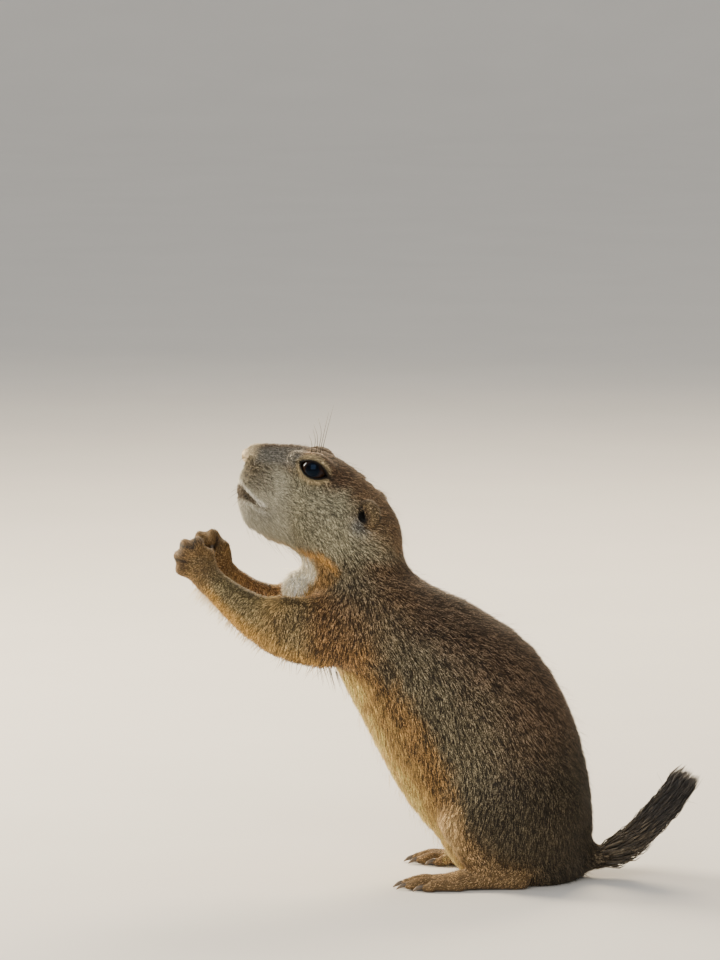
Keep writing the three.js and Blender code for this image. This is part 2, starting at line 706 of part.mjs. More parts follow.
const shankSkin = (side, by) =>
  skin(grown(sweep(mirrored(SHANK, side)), by), [-54, side < 0 ? -50 : 18, -6], [-8, side < 0 ? -18 : 50, 46], CELL.foot);

function shank(side, feet) {
  let solid = behind(shankSkin(side, 0), SHANK_CUT).subtract(haunch(side, SEAM));
  for (const foot of feet) solid = solid.subtract(foot);
  return largest(solid);
}

// The tail

// The tail's line, bent a little to the animal's right, with the half height of its coat and of its core.
const TAIL_LINE = [
  { at: [2, 0, 14], coat: 9.4, core: 9.4 },
  { at: [14, 0, 11.4], coat: 8.2, core: 8.2 },
  { at: [26, 0.5, 10.5], coat: 6.6, core: 6.6 },
  { at: [36, 1, 14.5], coat: 5.6, core: 5.6 },
  { at: [42.5, 1.5, 19.4], coat: 5.2, core: 5 },
  { at: [49, 2.4, 25.6], coat: 5.4, core: 4 },
  { at: [56, 3.4, 33], coat: 5.8, core: 2.9 },
  { at: [62, 4.4, 41], coat: 4.8, core: 1.7 },
  { at: [65, 4.8, 46], coat: 2.6, core: 0.4 },
];
const LOCK = { rows: 4, round: 6, first: 0.54, last: 0.81, long: 18, wide: 2.5, thick: 0.8 };
const tailLine = new THREE.CatmullRomCurve3(TAIL_LINE.map((s) => vec(s.at)));
const tailCore = tube(
  TAIL_LINE.map((s) => s.at),
  TAIL_LINE.map((s) => s.core),
  { sides: 10, up: [0, 1, 0], flat: 1.2 },
);

// The coat's or core's half height at a share of the tail's length.
function tailSize(key, share) {
  const place = Math.min(share, 1) * (TAIL_LINE.length - 1);
  const from = Math.min(Math.floor(place), TAIL_LINE.length - 2);
  return TAIL_LINE[from][key] + (TAIL_LINE[from + 1][key] - TAIL_LINE[from][key]) * (place - from);
}

// A place beside the tail's line, past its end too: a share of its length, a turn round it and a distance out.
function besideTail(share, turn, out) {
  const inLine = Math.min(share, 1);
  const along = tailLine.getTangent(inLine);
  const wide = new THREE.Vector3().crossVectors(along, vec([0, 1, 0])).normalize();
  const high = new THREE.Vector3().crossVectors(wide, along);
  const ray = wide.multiplyScalar(Math.cos(turn)).addScaledVector(high, Math.sin(turn));
  const past = (share - inLine) * tailLine.getLength();
  return { at: tailLine.getPoint(inLine).addScaledVector(along, past).addScaledVector(ray, out), ray, along };
}

// One flat, tapered lock of the brush: it starts deep in the core and bends along the tail to its tip.
function lock(share, turn, size) {
  const stretch = (LOCK.long * size) / tailLine.getLength();
  const rings = [0, 0.5, 1].map((t) => {
    const here = share + stretch * t;
    const core = tailSize("core", share) * 0.35;
    const coat = tailSize("coat", here) * (0.86 + 0.14 * size);
    const { at, ray, along } = besideTail(here, turn + 0.12 * t * (size - 1), core + (coat - core) * t ** 0.75);
    const across = new THREE.Vector3().crossVectors(ray, along).normalize();
    const wide = LOCK.wide * size * [0.8, 1, 0.12][2 * t];
    const thick = LOCK.thick * [1, 0.9, 0.2][2 * t];
    return [
      at.clone().addScaledVector(across, wide),
      at.clone().addScaledVector(ray, thick),
      at.clone().addScaledVector(across, -wide),
      at.clone().addScaledVector(ray, -thick),
    ];
  });
  const solid = loft(rings);
  return solid.volume() > 0 ? solid : loft(rings.map((ring) => ring.reverse()));
}

function tail() {
  return largest(floorCut(behind(ahead(tailCore, CUTS.tail), CUTS.brush)));
}

// The brush: rows of locks round the core, each row turned by half a lock, with seeded small differences.
function tailBrush() {
  let seed = 7;
  const draw = () => {
    seed = (seed * 16807) % 2147483647;
    return seed / 2147483647;
  };
  let solid = tailCore;
  for (let row = 0; row < LOCK.rows; row++) {
    const share = LOCK.first + ((LOCK.last - LOCK.first) * row) / (LOCK.rows - 1);
    for (let i = 0; i < LOCK.round; i++) {
      const turn = ((i + (row % 2) / 2 + 0.24 * (draw() - 0.5)) / LOCK.round) * 2 * Math.PI;
      solid = solid.add(lock(share + 0.012 * (draw() - 0.5), turn, 0.85 + 0.3 * draw()));
    }
  }
  return largest(ahead(solid, CUTS.brush));
}

// Assembly

const COAT = {
  back: [0x6b5a48, 0.95],
  flank: [0x84714f, 0.95],
  pale: [0xc9b48c, 0.95],
  limb: [0x8a7550, 0.95],
  tail: [0x3a3024, 0.95],
  dark: [0x241c16, 0.5],
  claw: [0x1d1916, 0.35],
  eye: [0x0b0a0a, 0.05],
};

const group = new THREE.Group();
group.name = "prairie_dog";

function place_node(name, solid, [color, roughness]) {
  const mesh = solid.getMesh();
  const geometry = new THREE.BufferGeometry();
  geometry.setAttribute("position", new THREE.BufferAttribute(new Float32Array(mesh.vertProperties), 3));
  geometry.setIndex(new THREE.BufferAttribute(new Uint32Array(mesh.triVerts), 1));
  geometry.computeVertexNormals();
  const node = new THREE.Mesh(geometry, new THREE.MeshStandardMaterial({ name, color, roughness }));
  node.name = name;
  group.add(node);
}

const sideName = (side) => (side < 0 ? "left" : "right");
const feetRoom = both((side) => footRoom(side));
const shankRoom = both((side) => shankSkin(side, SEAM));
const headRoom = skin(grown(body, 0.5), [-112, -34, 140], [-60, 34, 212], CELL.head);
const noseSolid = nose();
const noseRoom = ball(1, [0, 0, 0], [1, 1, 1], 12).scale(NOSE.half.map((h) => h + SEAM)).translate(NOSE.at);

place_node("head", head(noseRoom), COAT.flank);
place_node("nose", noseSolid, COAT.dark);
place_node("neck", neck(), COAT.flank);
place_node("chest", chest(), COAT.pale);
place_node("abdomen", abdomen(), COAT.flank);
place_node("rump", rump([...feetRoom, ...shankRoom]), COAT.back);
place_node("tail", tail(), COAT.back);
place_node("tail_brush", tailBrush(), COAT.tail);
for (const side of [LEFT, RIGHT]) {
  const name = sideName(side);
  place_node(`eye_${name}`, eye(side), COAT.eye);
  place_node(`ear_${name}`, ear(side, headRoom), COAT.back);
  const whole = armSkin(side);
  place_node(`upper_arm_${name}`, upperArm(side, whole), COAT.limb);
  place_node(`forearm_${name}`, forearm(side, whole), COAT.limb);
  const pawSolid = paw(side);
  place_node(`paw_${name}`, pawSolid, COAT.limb);
  PAW.knuckles.forEach((k, i) => place_node(`paw_claw_${name}_${i + 1}`, pawClaw(k, side, pawSolid), COAT.claw));
  place_node(`thigh_${name}`, thigh(side, feetRoom), COAT.back);
  place_node(`shank_${name}`, shank(side, feetRoom), COAT.limb);
  const footSolid = foot(side);
  place_node(`foot_${name}`, footSolid, COAT.limb);
  FOOT.digits.forEach((d, i) => place_node(`foot_claw_${name}_${i + 1}`, footClaw(d, side, footSolid), COAT.claw));
}

export default group;
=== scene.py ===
"""A life-size prairie dog, sitting up on its haunches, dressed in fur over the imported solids.

The flesh is a smooth field of swept sections and rounded masses, the same as the solids but drawn in by
the depth of the coat. One skin is taken from it, and short tufts grow from it along the lie of the coat.
Sizes of the animal are in millimetres, and every mesh is put down in metres.
"""

import logging
import math
from dataclasses import dataclass, field
from enum import Enum
from typing import Callable, NamedTuple

import bpy
import numpy as np
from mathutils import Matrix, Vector


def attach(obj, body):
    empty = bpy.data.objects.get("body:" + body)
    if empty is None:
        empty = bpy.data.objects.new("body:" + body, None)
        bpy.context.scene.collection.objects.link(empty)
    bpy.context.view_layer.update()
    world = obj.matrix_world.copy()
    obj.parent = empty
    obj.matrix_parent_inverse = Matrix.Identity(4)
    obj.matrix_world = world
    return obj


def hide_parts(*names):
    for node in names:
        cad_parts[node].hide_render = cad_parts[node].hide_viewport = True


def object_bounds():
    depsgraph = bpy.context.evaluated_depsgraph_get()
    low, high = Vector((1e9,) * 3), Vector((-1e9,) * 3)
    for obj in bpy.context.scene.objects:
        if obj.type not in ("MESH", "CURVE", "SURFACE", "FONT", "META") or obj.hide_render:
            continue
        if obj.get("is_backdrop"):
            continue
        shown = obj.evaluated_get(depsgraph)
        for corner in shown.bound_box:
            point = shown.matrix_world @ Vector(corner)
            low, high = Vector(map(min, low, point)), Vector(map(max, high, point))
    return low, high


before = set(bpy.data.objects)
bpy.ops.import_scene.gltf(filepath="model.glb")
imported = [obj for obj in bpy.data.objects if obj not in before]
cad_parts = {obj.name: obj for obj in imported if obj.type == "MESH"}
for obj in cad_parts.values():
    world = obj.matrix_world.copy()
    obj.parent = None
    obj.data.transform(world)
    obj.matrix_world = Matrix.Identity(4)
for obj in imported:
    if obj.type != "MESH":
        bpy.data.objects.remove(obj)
CAD_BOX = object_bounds()

MM = 0.001
LEFT, RIGHT = SIDES = (-1, 1)
NAMES = {LEFT: "left", RIGHT: "right"}
# The gap of a point that no part is near, the first random seed, and half the size of a tuft's patch of the map
FAR = 60.0
SEED = 20240611
PATCH = 0.0015
log = logging.getLogger("prairie_dog")
Array = np.ndarray


class Zone(Enum):
    """The parts of the body that differ in lie, length and colour of the coat."""

    TRUNK, HEAD, ARM, FOREARM, PAW, THIGH, SHANK, FOOT, TAIL = range(9)


def unit(v: Array) -> Array:
    """Rows of v, each divided by its length."""
    return v / np.maximum(np.linalg.norm(v, axis=-1, keepdims=True), 1e-9)


def ease(low: float, high: float, x: Array) -> Array:
    """0 below low, 1 above high, and the smooth cubic 3t^2 - 2t^3 between them."""
    t = np.clip((x - low) / (high - low), 0, 1)
    return t * t * (3 - 2 * t)


def bell(x: Array) -> Array:
    """1 where x is 0, fading to 0 on both sides: e to the minus x^2."""
    return np.exp(-(x**2))


def mirrored(place: tuple, side: int) -> Array:
    """A place of the right side, with its y turned over for the left one."""
    return np.array(place) * np.array([1, side, 1])


def spot(points: Array, at: tuple, size: tuple) -> Array:
    """A soft round patch: e to the minus squared distance from a centre, each axis in its own size."""
    return np.exp(-(((points - np.array(at)) / np.array(size)) ** 2).sum(-1))


def stroke(p: Array, start: tuple, end: tuple, width: float) -> Array:
    """How near each point is, seen from the side, to the line between two (x, z) places: 1 on it."""
    run, q = np.array(end) - np.array(start), p[:, [0, 2]] - np.array(start)
    t = np.clip(q @ run / (run @ run), 0, 1)
    return bell(np.linalg.norm(q - t[:, None] * run, axis=1) / width)


def within(points: Array, low: Array, high: Array) -> Array:
    """The numbers of the points that lie in a box."""
    return np.nonzero(((points > low) & (points < high)).all(1))[0]


def to_path(points: Array, path: Array, radii: Array) -> Array:
    """Distance to the nearest place on a path of straight pieces, less the radius there, and FAR at most."""
    best = np.full(len(points), FAR)
    for a, b, ra, rb in zip(path[:-1], path[1:], radii[:-1], radii[1:]):
        span = b - a
        t = np.clip((points - a) @ span / (span @ span), 0, 1)
        best = np.minimum(best, np.linalg.norm(points - a - t[:, None] * span, axis=1) - ra - (rb - ra) * t)
    return best


def mottle(points: Array, scale: float, seed: float = 0.0) -> Array:
    """A smooth random field from -1 to 1: the mean of three waves, each bent by another across it."""
    p = points / scale + seed
    a = np.sin(p @ np.array([1.7, 2.3, 1.1]) + 2.1 * np.sin(p @ np.array([0.9, -1.3, 2.2])))
    b = np.sin(p @ np.array([-2.1, 1.2, 1.9]) + 1.7 * np.sin(p @ np.array([1.9, 0.7, -1.4])))
    c = np.sin(p @ np.array([1.3, -1.8, 2.4]) + 1.9 * np.sin(p @ np.array([-1.1, 2.0, 0.8])))
    return (a + b + c) / 3


def melt(width: float, a: Array, b: Array) -> Array:
    """The smooth union of two fields: the smaller one, less h^2 w/4 where h = 1 - |a - b| / w is above 0."""
    h = np.maximum(width - np.abs(a - b), 0) / width
    return np.minimum(a, b) - h * h * width / 4


def spline(knots: Array, count: int) -> Array:
    """Points along a Catmull-Rom curve through the knots, evenly spaced in its parameter.

    Each is half of 2p1 + (p2 - p0)t + (2p0 - 5p1 + 4p2 - p3)t^2 + (3p1 - p0 - 3p2 + p3)t^3.
    Args:
        knots: one row for each knot, of any width. count: how many points to give.
    Returns:
        The points, one row each.
    """
    k = np.vstack([2 * knots[0] - knots[1], knots, 2 * knots[-1] - knots[-2]])
    s = np.linspace(0, len(knots) - 1, count)
    i = np.minimum(s.astype(int), len(knots) - 2)
    t = (s - i)[:, None]
    p0, p1, p2, p3 = k[i], k[i + 1], k[i + 2], k[i + 3]
    square, cube = 2 * p0 - 5 * p1 + 4 * p2 - p3, 3 * p1 - p0 - 3 * p2 + p3
    return 0.5 * (2 * p1 + (p2 - p0) * t + square * t**2 + cube * t**3)


def rounded(once: tuple, twice: tuple, least: Array) -> Array:
    """How far a place is outside a rounded mass: k0 (k0 - 1) / k1.

    Args:
        once: the place over the half sizes, of length k0. twice: that over the half sizes again, of length
            k1. least: the least half size, which is how deep the middle is.
    Returns:
        The gap, below 0 inside.
    """
    k0, k1 = (np.sqrt(x**2 + y**2 + z**2) for x, y, z in (once, twice))
    return np.where(k1 > 1e-6, k0 * (k0 - 1) / np.maximum(k1, 1e-6), -least)


class Reading(NamedTuple):
    """What a swept part says of each point: its gap, its place along and round the part, and its coat."""

    gap: Array
    run: Array
    rise: Array
    along: Array
    coat: Array
    hair: Array
    turn: Array


@dataclass
class Tube:
    """A section swept along a path and closed by a dome at each end.

    A station is x, y, z, then the half sizes towards the back, the belly and the side, then the depth of
    the coat and the length of its hair.
    """

    zone: Zone
    stations: list
    side: int = 1

    def __post_init__(self) -> None:
        """Sets the segments: where each starts, its own three directions and its sizes at both ends."""
        knots = np.array(self.stations, float)
        knots[:, 1] *= self.side
        self.rows = spline(knots, (len(knots) - 1) * 3 + 1)
        path = self.rows[:, :3]
        self.along, self.length = unit(np.diff(path, axis=0)), np.linalg.norm(np.diff(path, axis=0), axis=1)
        self.back = unit(np.cross(np.array([0.0, 1.0, 0.0]), self.along))
        self.across = np.cross(self.along, self.back)
        most = self.rows[:, 3:6].max()
        self.low, self.high = path.min(0) - most - 16, path.max(0) + most + 16

    def read(self, points: Array) -> Reading:
        """Measures rows of x, y, z against the nearest segment. Those far outside have the gap FAR."""
        n = len(points)
        out = Reading(np.full(n, FAR), *(np.zeros((n, 3) if k == 3 else n) for k in range(1, 7)))
        near = within(points, self.low, self.high)
        if not len(near):
            return out
        q = points[near]
        best, run, rise, turn, segment = (np.full(len(near), v) for v in (np.inf, 0.0, 0.0, 0.0, 0))
        for s in range(len(self.length)):
            d = q - self.rows[s, :3]
            lin = d @ self.along[s]
            t = np.clip(lin / self.length[s], 0, 1)
            u, v, w = d @ self.back[s], d @ self.across[s], lin - t * self.length[s]
            size = self.rows[s, 3:7] + (self.rows[s + 1, 3:7] - self.rows[s, 3:7]) * t[:, None]
            deep = np.maximum(np.where(u > 0, size[:, 0], size[:, 1]) - size[:, 3], 0.3)
            wide = np.maximum(size[:, 2] - size[:, 3], 0.3)
            end = np.minimum(deep, wide)
            a, b, c = u / deep, v / wide, w / end
            value = rounded((a, b, c), (a / deep, b / wide, c / end), end)
            closer = value < best
            level = a / np.maximum(np.hypot(a, b), 1e-6)
            fresh = (value, (s + t) / len(self.length), level, np.arctan2(b, a), s)
            for kept, new in zip((best, run, rise, turn, segment), fresh):
                np.copyto(kept, new, where=closer)
        place, knots = run * (len(self.rows) - 1), np.arange(len(self.rows))
        coat, hair = (np.interp(place, knots, self.rows[:, k]) for k in (6, 7))
        for whole, part in zip(out, (best, run, rise, self.along[segment], coat, hair, turn)):
            whole[near] = part
        return out


@dataclass
class Mass:
    """A rounded mass, its long axis pitched in the middle plane, nose end up."""

    at: tuple
    half: tuple
    pitch: float
    coat: float
    side: int = 0

    def gap(self, points: Array) -> Array:
        """How far each point is outside the mass."""
        c, s = math.cos(math.radians(self.pitch)), math.sin(math.radians(self.pitch))
        x, y, z = (points - mirrored(self.at, self.side or 1)).T
        place, half = (x * c - z * s, y, x * s + z * c), np.array(self.half) - self.coat
        return rounded(*(tuple(p / h**k for p, h in zip(place, half)) for k in (1, 2)), min(half))


TRUNK = [
    (-8.6, 0, 16.2, 30, 27, 35, 2.6, 7),
    (-15, 0, 26.1, 38.5, 33.5, 41, 2.6, 7),
    (-21.4, 0, 42.8, 43.2, 37.5, 43.5, 2.6, 7),
    (-28.5, 0, 61.8, 45.1, 44.7, 43, 2.6, 7),
    (-38.5, 0, 81.2, 44.2, 45.6, 41.5, 2.6, 7),
    (-48.9, 0, 96.9, 36, 43.7, 38.5, 2.5, 6.8),
    (-59.9, 0, 110.2, 27.5, 40.4, 35, 2.4, 6.5),
    (-72.7, 0, 122.6, 24.7, 34.2, 31.5, 2.3, 6.2),
    (-84.1, 0, 135.9, 21.9, 29.5, 27.5, 2.2, 5.8),
    (-89.8, 0, 147.3, 21.9, 23.8, 24, 2.1, 5.4),
    (-88.8, 0, 157.7, 16.4, 18, 21.5, 1.9, 5),
    (-88.6, 0, 166.6, 12, 17, 19.5, 1.8, 4.6),
]
SKULL = [
    (-88.5, 0, 164.5, 18.5, 20, 20.5, 1.8, 4.6),
    (-96.9, 0, 171, 21.8, 22, 21.5, 1.6, 4.0),
    (-105.9, 0, 176.7, 24.2, 22.8, 20, 1.3, 3.2),
    (-115.4, 0, 181.5, 24.2, 22.8, 17, 1.1, 2.8),
    (-124.5, 0, 185.3, 22.6, 23.3, 14, 0.9, 2.3),
    (-131.6, 0, 188.6, 19.4, 20.9, 11.5, 0.7, 1.7),
    (-135.2, 0, 190.8, 15.6, 15.5, 9.2, 0.6, 1.4),
    (-138.4, 0, 192.8, 11.4, 11, 6, 0.6, 1.2),
]
SHOULDER = [
    (-76, 14, 124.5, 16, 17, 14, 2.2, 6),
    (-92.6, 22, 122.6, 16.5, 17, 12.5, 2.0, 5.4),
    (-107.8, 25, 121.6, 16.4, 16.4, 11, 1.8, 4.6),
    (-122, 26, 123, 14.4, 14.4, 10, 1.6, 4.2),
]
FOREARM = {
    LEFT: [
        (-127.5, 24.5, 124.6, 12.4, 13, 9.6, 1.6, 4.2),
        (-135.6, 23.6, 128.4, 9.8, 11.4, 8.8, 1.5, 3.8),
        (-145.8, 20, 134.6, 7.5, 9.2, 7.5, 1.3, 3.2),
        (-154.9, 16, 141.4, 6.2, 7.6, 6.3, 1.0, 2.4),
        (-161.5, 12, 146.4, 5.8, 6.6, 5.2, 0.7, 1.6),
    ],
    RIGHT: [
        (-125.5, 24.5, 124.3, 12.4, 13, 9.6, 1.6, 4.2),
        (-133, 23.6, 127, 9.8, 11.4, 8.8, 1.5, 3.8),
        (-142, 20, 132.4, 7.5, 9.2, 7.5, 1.3, 3.2),
        (-149.8, 16, 139.2, 6.2, 7.6, 6.3, 1.0, 2.4),
        (-156, 11.5, 144.8, 5.8, 6.6, 5.2, 0.7, 1.6),
    ],
}
THIGH = [
    (-4, 22, 38, 22, 23, 21, 2.4, 6.6),
    (-17, 28, 36, 23, 24, 20, 2.4, 6.2),
    (-30, 32.5, 33.5, 14, 15, 13, 1.8, 4.6),
    (-36.5, 34, 31.5, 9, 9, 9, 1.3, 3.4),
]
SHANK = [
    (-37, 34.5, 29, 8, 8, 7.5, 1.3, 3.4),
    (-32, 35, 18, 7.5, 7.5, 7, 1.0, 2.6),
    (-24, 34.5, 9, 6, 6, 6, 0.7, 1.8),
]
SOLE = [
    (-10, 33.5, 4.4, 5.6, 5.6, 5.2, 0.5, 1.5),
    (-22, 34, 4.6, 6.4, 5.4, 6.2, 0.5, 1.5),
    (-36, 34.8, 3.6, 5.6, 4.6, 8.2, 0.5, 1.4),
    (-46, 35, 2.4, 4.2, 3.4, 8.8, 0.4, 1.3),
]
TAIL = [
    (2, 0, 14, 9.4, 9.4, 11.3, 2.6, 7),
    (14, 0, 11.4, 8.2, 8.2, 9.8, 2.6, 8),
    (26, 0.5, 10.5, 6.6, 6.6, 7.9, 2.8, 9),
    (36, 1, 14.5, 5.6, 5.6, 6.7, 2.9, 10),
    (42.5, 1.5, 19.4, 5.2, 5.2, 6.2, 3.0, 11),
    (49, 2.4, 25.6, 5.4, 5.4, 6.4, 3.3, 12),
    (55, 3.3, 32, 5, 5, 6, 3.4, 13),
    (59, 3.8, 37, 3.6, 3.6, 4, 2.4, 13),
]


@dataclass
class Bead:
    """One rounded limb of a hand or foot: a round section carried along a few joints."""

    joints: list
    radii: list

    def __post_init__(self) -> None:
        """Smooths the joints and notes the box that holds the limb."""
        knots = np.column_stack([np.array(self.joints, float), self.radii])
        rows = spline(knots, (len(knots) - 1) * 3 + 1)
        self.path, self.size = rows[:, :3], rows[:, 3]
        self.low, self.high = self.path.min(0) - 9, self.path.max(0) + 9

    def gap(self, points: Array) -> Array:
        """Distance to the nearest place on the path, less the radius there."""
        out = np.full(len(points), FAR)
        near = within(points, self.low, self.high)
        out[near] = to_path(points[near], self.path, self.size)
        return out


@dataclass
class Ear:
    """The outer ear: a low cup that opens forwards and out."""

    side: int
    at: tuple = (-82.3, 20.7, 176.6)
    half: tuple = (5.5, 4.1, 6.3)
    slant: float = -18
    splay: float = 27

    def local(self, points: Array) -> Array:
        """Points in the ear's own axes: turned back about z by the splay, then about y by the slant."""
        x, y, z = (points - mirrored(self.at, self.side)).T
        k, m = math.radians(self.side * self.splay), math.radians(self.slant)
        x, y = x * math.cos(k) + y * math.sin(k), -x * math.sin(k) + y * math.cos(k)
        return np.column_stack([x * math.cos(m) - z * math.sin(m), y, x * math.sin(m) + z * math.cos(m)])

    def cup(self, local: Array) -> Array:
        """How far out a place is in the shallow scoop of the flap: 1 on its edge."""
        place = (local - np.array([-1.4, self.side * 4.4, -0.4])) / np.array([4.6, 3.0, 5.1])
        return np.sqrt((place**2).sum(1))

    def gap(self, points: Array) -> Array:
        """The flap: an ellipsoid less a shallow scoop, both with the gap (k0 - 1) times their least half."""
        p = self.local(points)
        flap = (np.sqrt(((p / np.array(self.half)) ** 2).sum(1)) - 1) * self.half[1]
        return -melt(0.8, -flap, (self.cup(p) - 1) * 3.1)

    def hole(self, points: Array) -> Array:
        """The gap of the ear's opening, a curved hollow before the flap that runs in towards the head."""
        x, y, z = self.local(points).T
        x, y, z = (x + 3.0 - 0.075 * z**2) / 1.55, (y - self.side * 1.2) / 4.6, (z - 0.2) / 3.0
        return (np.sqrt(x**2 + y**2 + z**2) - 1) * 1.5


PALM = np.array([-164.6, -10.4, 150.8])
KNUCKLES = [(-171.8, -11, 147.8), (-172.6, -11, 153.6), (-169.9, -11, 158.6), (-164.6, -11, 159.6)]
THUMB = np.array([-159, -8, 154.8])
WRIST = {LEFT: (-160.5, -12.5, 145.5), RIGHT: (-155, 12, 144)}
EYE = {"at": (-108.4, 13.0, 196.6), "radius": 6.6}
OPENING = {"long": 7.1, "high": 3.7, "point": 1.30, "slant": -26, "lid": 7.12}
BROW_HAIRS = [
    [(-110.6, 6.8, 202), (-110, 9.6, 208), (-111.4, 11.6, 213)],
    [(-108.6, 7, 202), (-107.2, 10.4, 211), (-108.9, 12.6, 218)],
    [(-106.8, 7, 201.8), (-104.2, 10.4, 213.5), (-101.6, 13.4, 224)],
]
MOUTH = [(-144.5, 183.2), (-142, 182.6), (-138, 180.8), (-133.6, 177.6)]
TOES = [
    ((-42, 27.5), (-53, 25.5), 2.5),
    ((-46, 31), (-61, 30), 2.8),
    ((-47, 35), (-63.5, 35.2), 2.9),
    ((-46, 39), (-61.5, 40.6), 2.8),
    ((-42, 42.5), (-53.5, 45.2), 2.5),
]


def eye_axes(side: int) -> tuple:
    """The eye's centre, its outward axis, the axis along the slanted opening and the one up across it."""
    slant = math.radians(OPENING["slant"])
    out = unit(np.array([-0.10, side, 0.06]))
    long = np.array([math.cos(slant), 0, math.sin(slant)])
    long = unit(long - (long @ out) * out)
    high = np.cross(long, out)
    return mirrored(EYE["at"], side), out, long, high * (1 if high[2] > 0 else -1)


def almond(points: Array, side: int) -> tuple:
    """How far a place is outside the opening of the lids, and how far out along the eye's axis.

    The opening's edge is where (u / long)^2 + (|v| / high)^point is 1. The distance is about that sum
    less 1, times half of the lesser size.
    """
    centre, out, long, high = eye_axes(side)
    d = points - centre
    u, v = d @ long / OPENING["long"], np.abs(d @ high) / OPENING["high"]
    return (u * u + v ** OPENING["point"] - 1) * OPENING["high"] * 0.5, d @ out


def pad_rows() -> list:
    """The places x, z of the dark hair roots on the side of the muzzle, with the row and the number in it."""
    return [(-142.4 + 1.75 * k + 0.8 * (row % 2) + 0.3 * math.sin(5 * row + 3 * k),
             200.4 - 1.65 * row - 0.45 * k + 0.3 * math.sin(4 * row + 7 * k), row, k)
            for row in range(8) for k in range(8)]


def handed(p: Array, side: int) -> Array:
    """A point of the left hand, or its place on the right one, which is held a little nearer and higher."""
    return p if side == LEFT else mirrored(p, -1) + np.array([5.5, 0, 1.6])


def digit(knuckle: tuple, side: int, shares: list) -> list:
    """Joints of a curled digit or its claw, root first.

    Args:
        knuckle: the digit's outermost place. side: which hand.
        shares: for each joint, its share of the way from the palm to the knuckle, and its own y.
    """
    ray = np.array(knuckle, float) - PALM
    return [handed(np.array([PALM[0] + ray[0] * s, y, PALM[2] + ray[2] * s]), side) for s, y in shares]


FINGER = [(0.15, -12.2), (0.72, -12.0), (1.03, -9.4), (1.0, -6.2), (0.7, -4.0)]
FINGER_CLAW = [(0.74, -4.0), (0.5, -3.3), (0.26, -2.9), (0.02, -3.1)]
DOWN = np.array([0.0, 0.0, -1.0])


@dataclass
class Survey:
    """What the flesh says of each point of the skin: its share of each zone, and that zone's reading."""

    share: dict
    lie: Array
    coat: Array
    hair: Array
    rise: dict
    run: dict


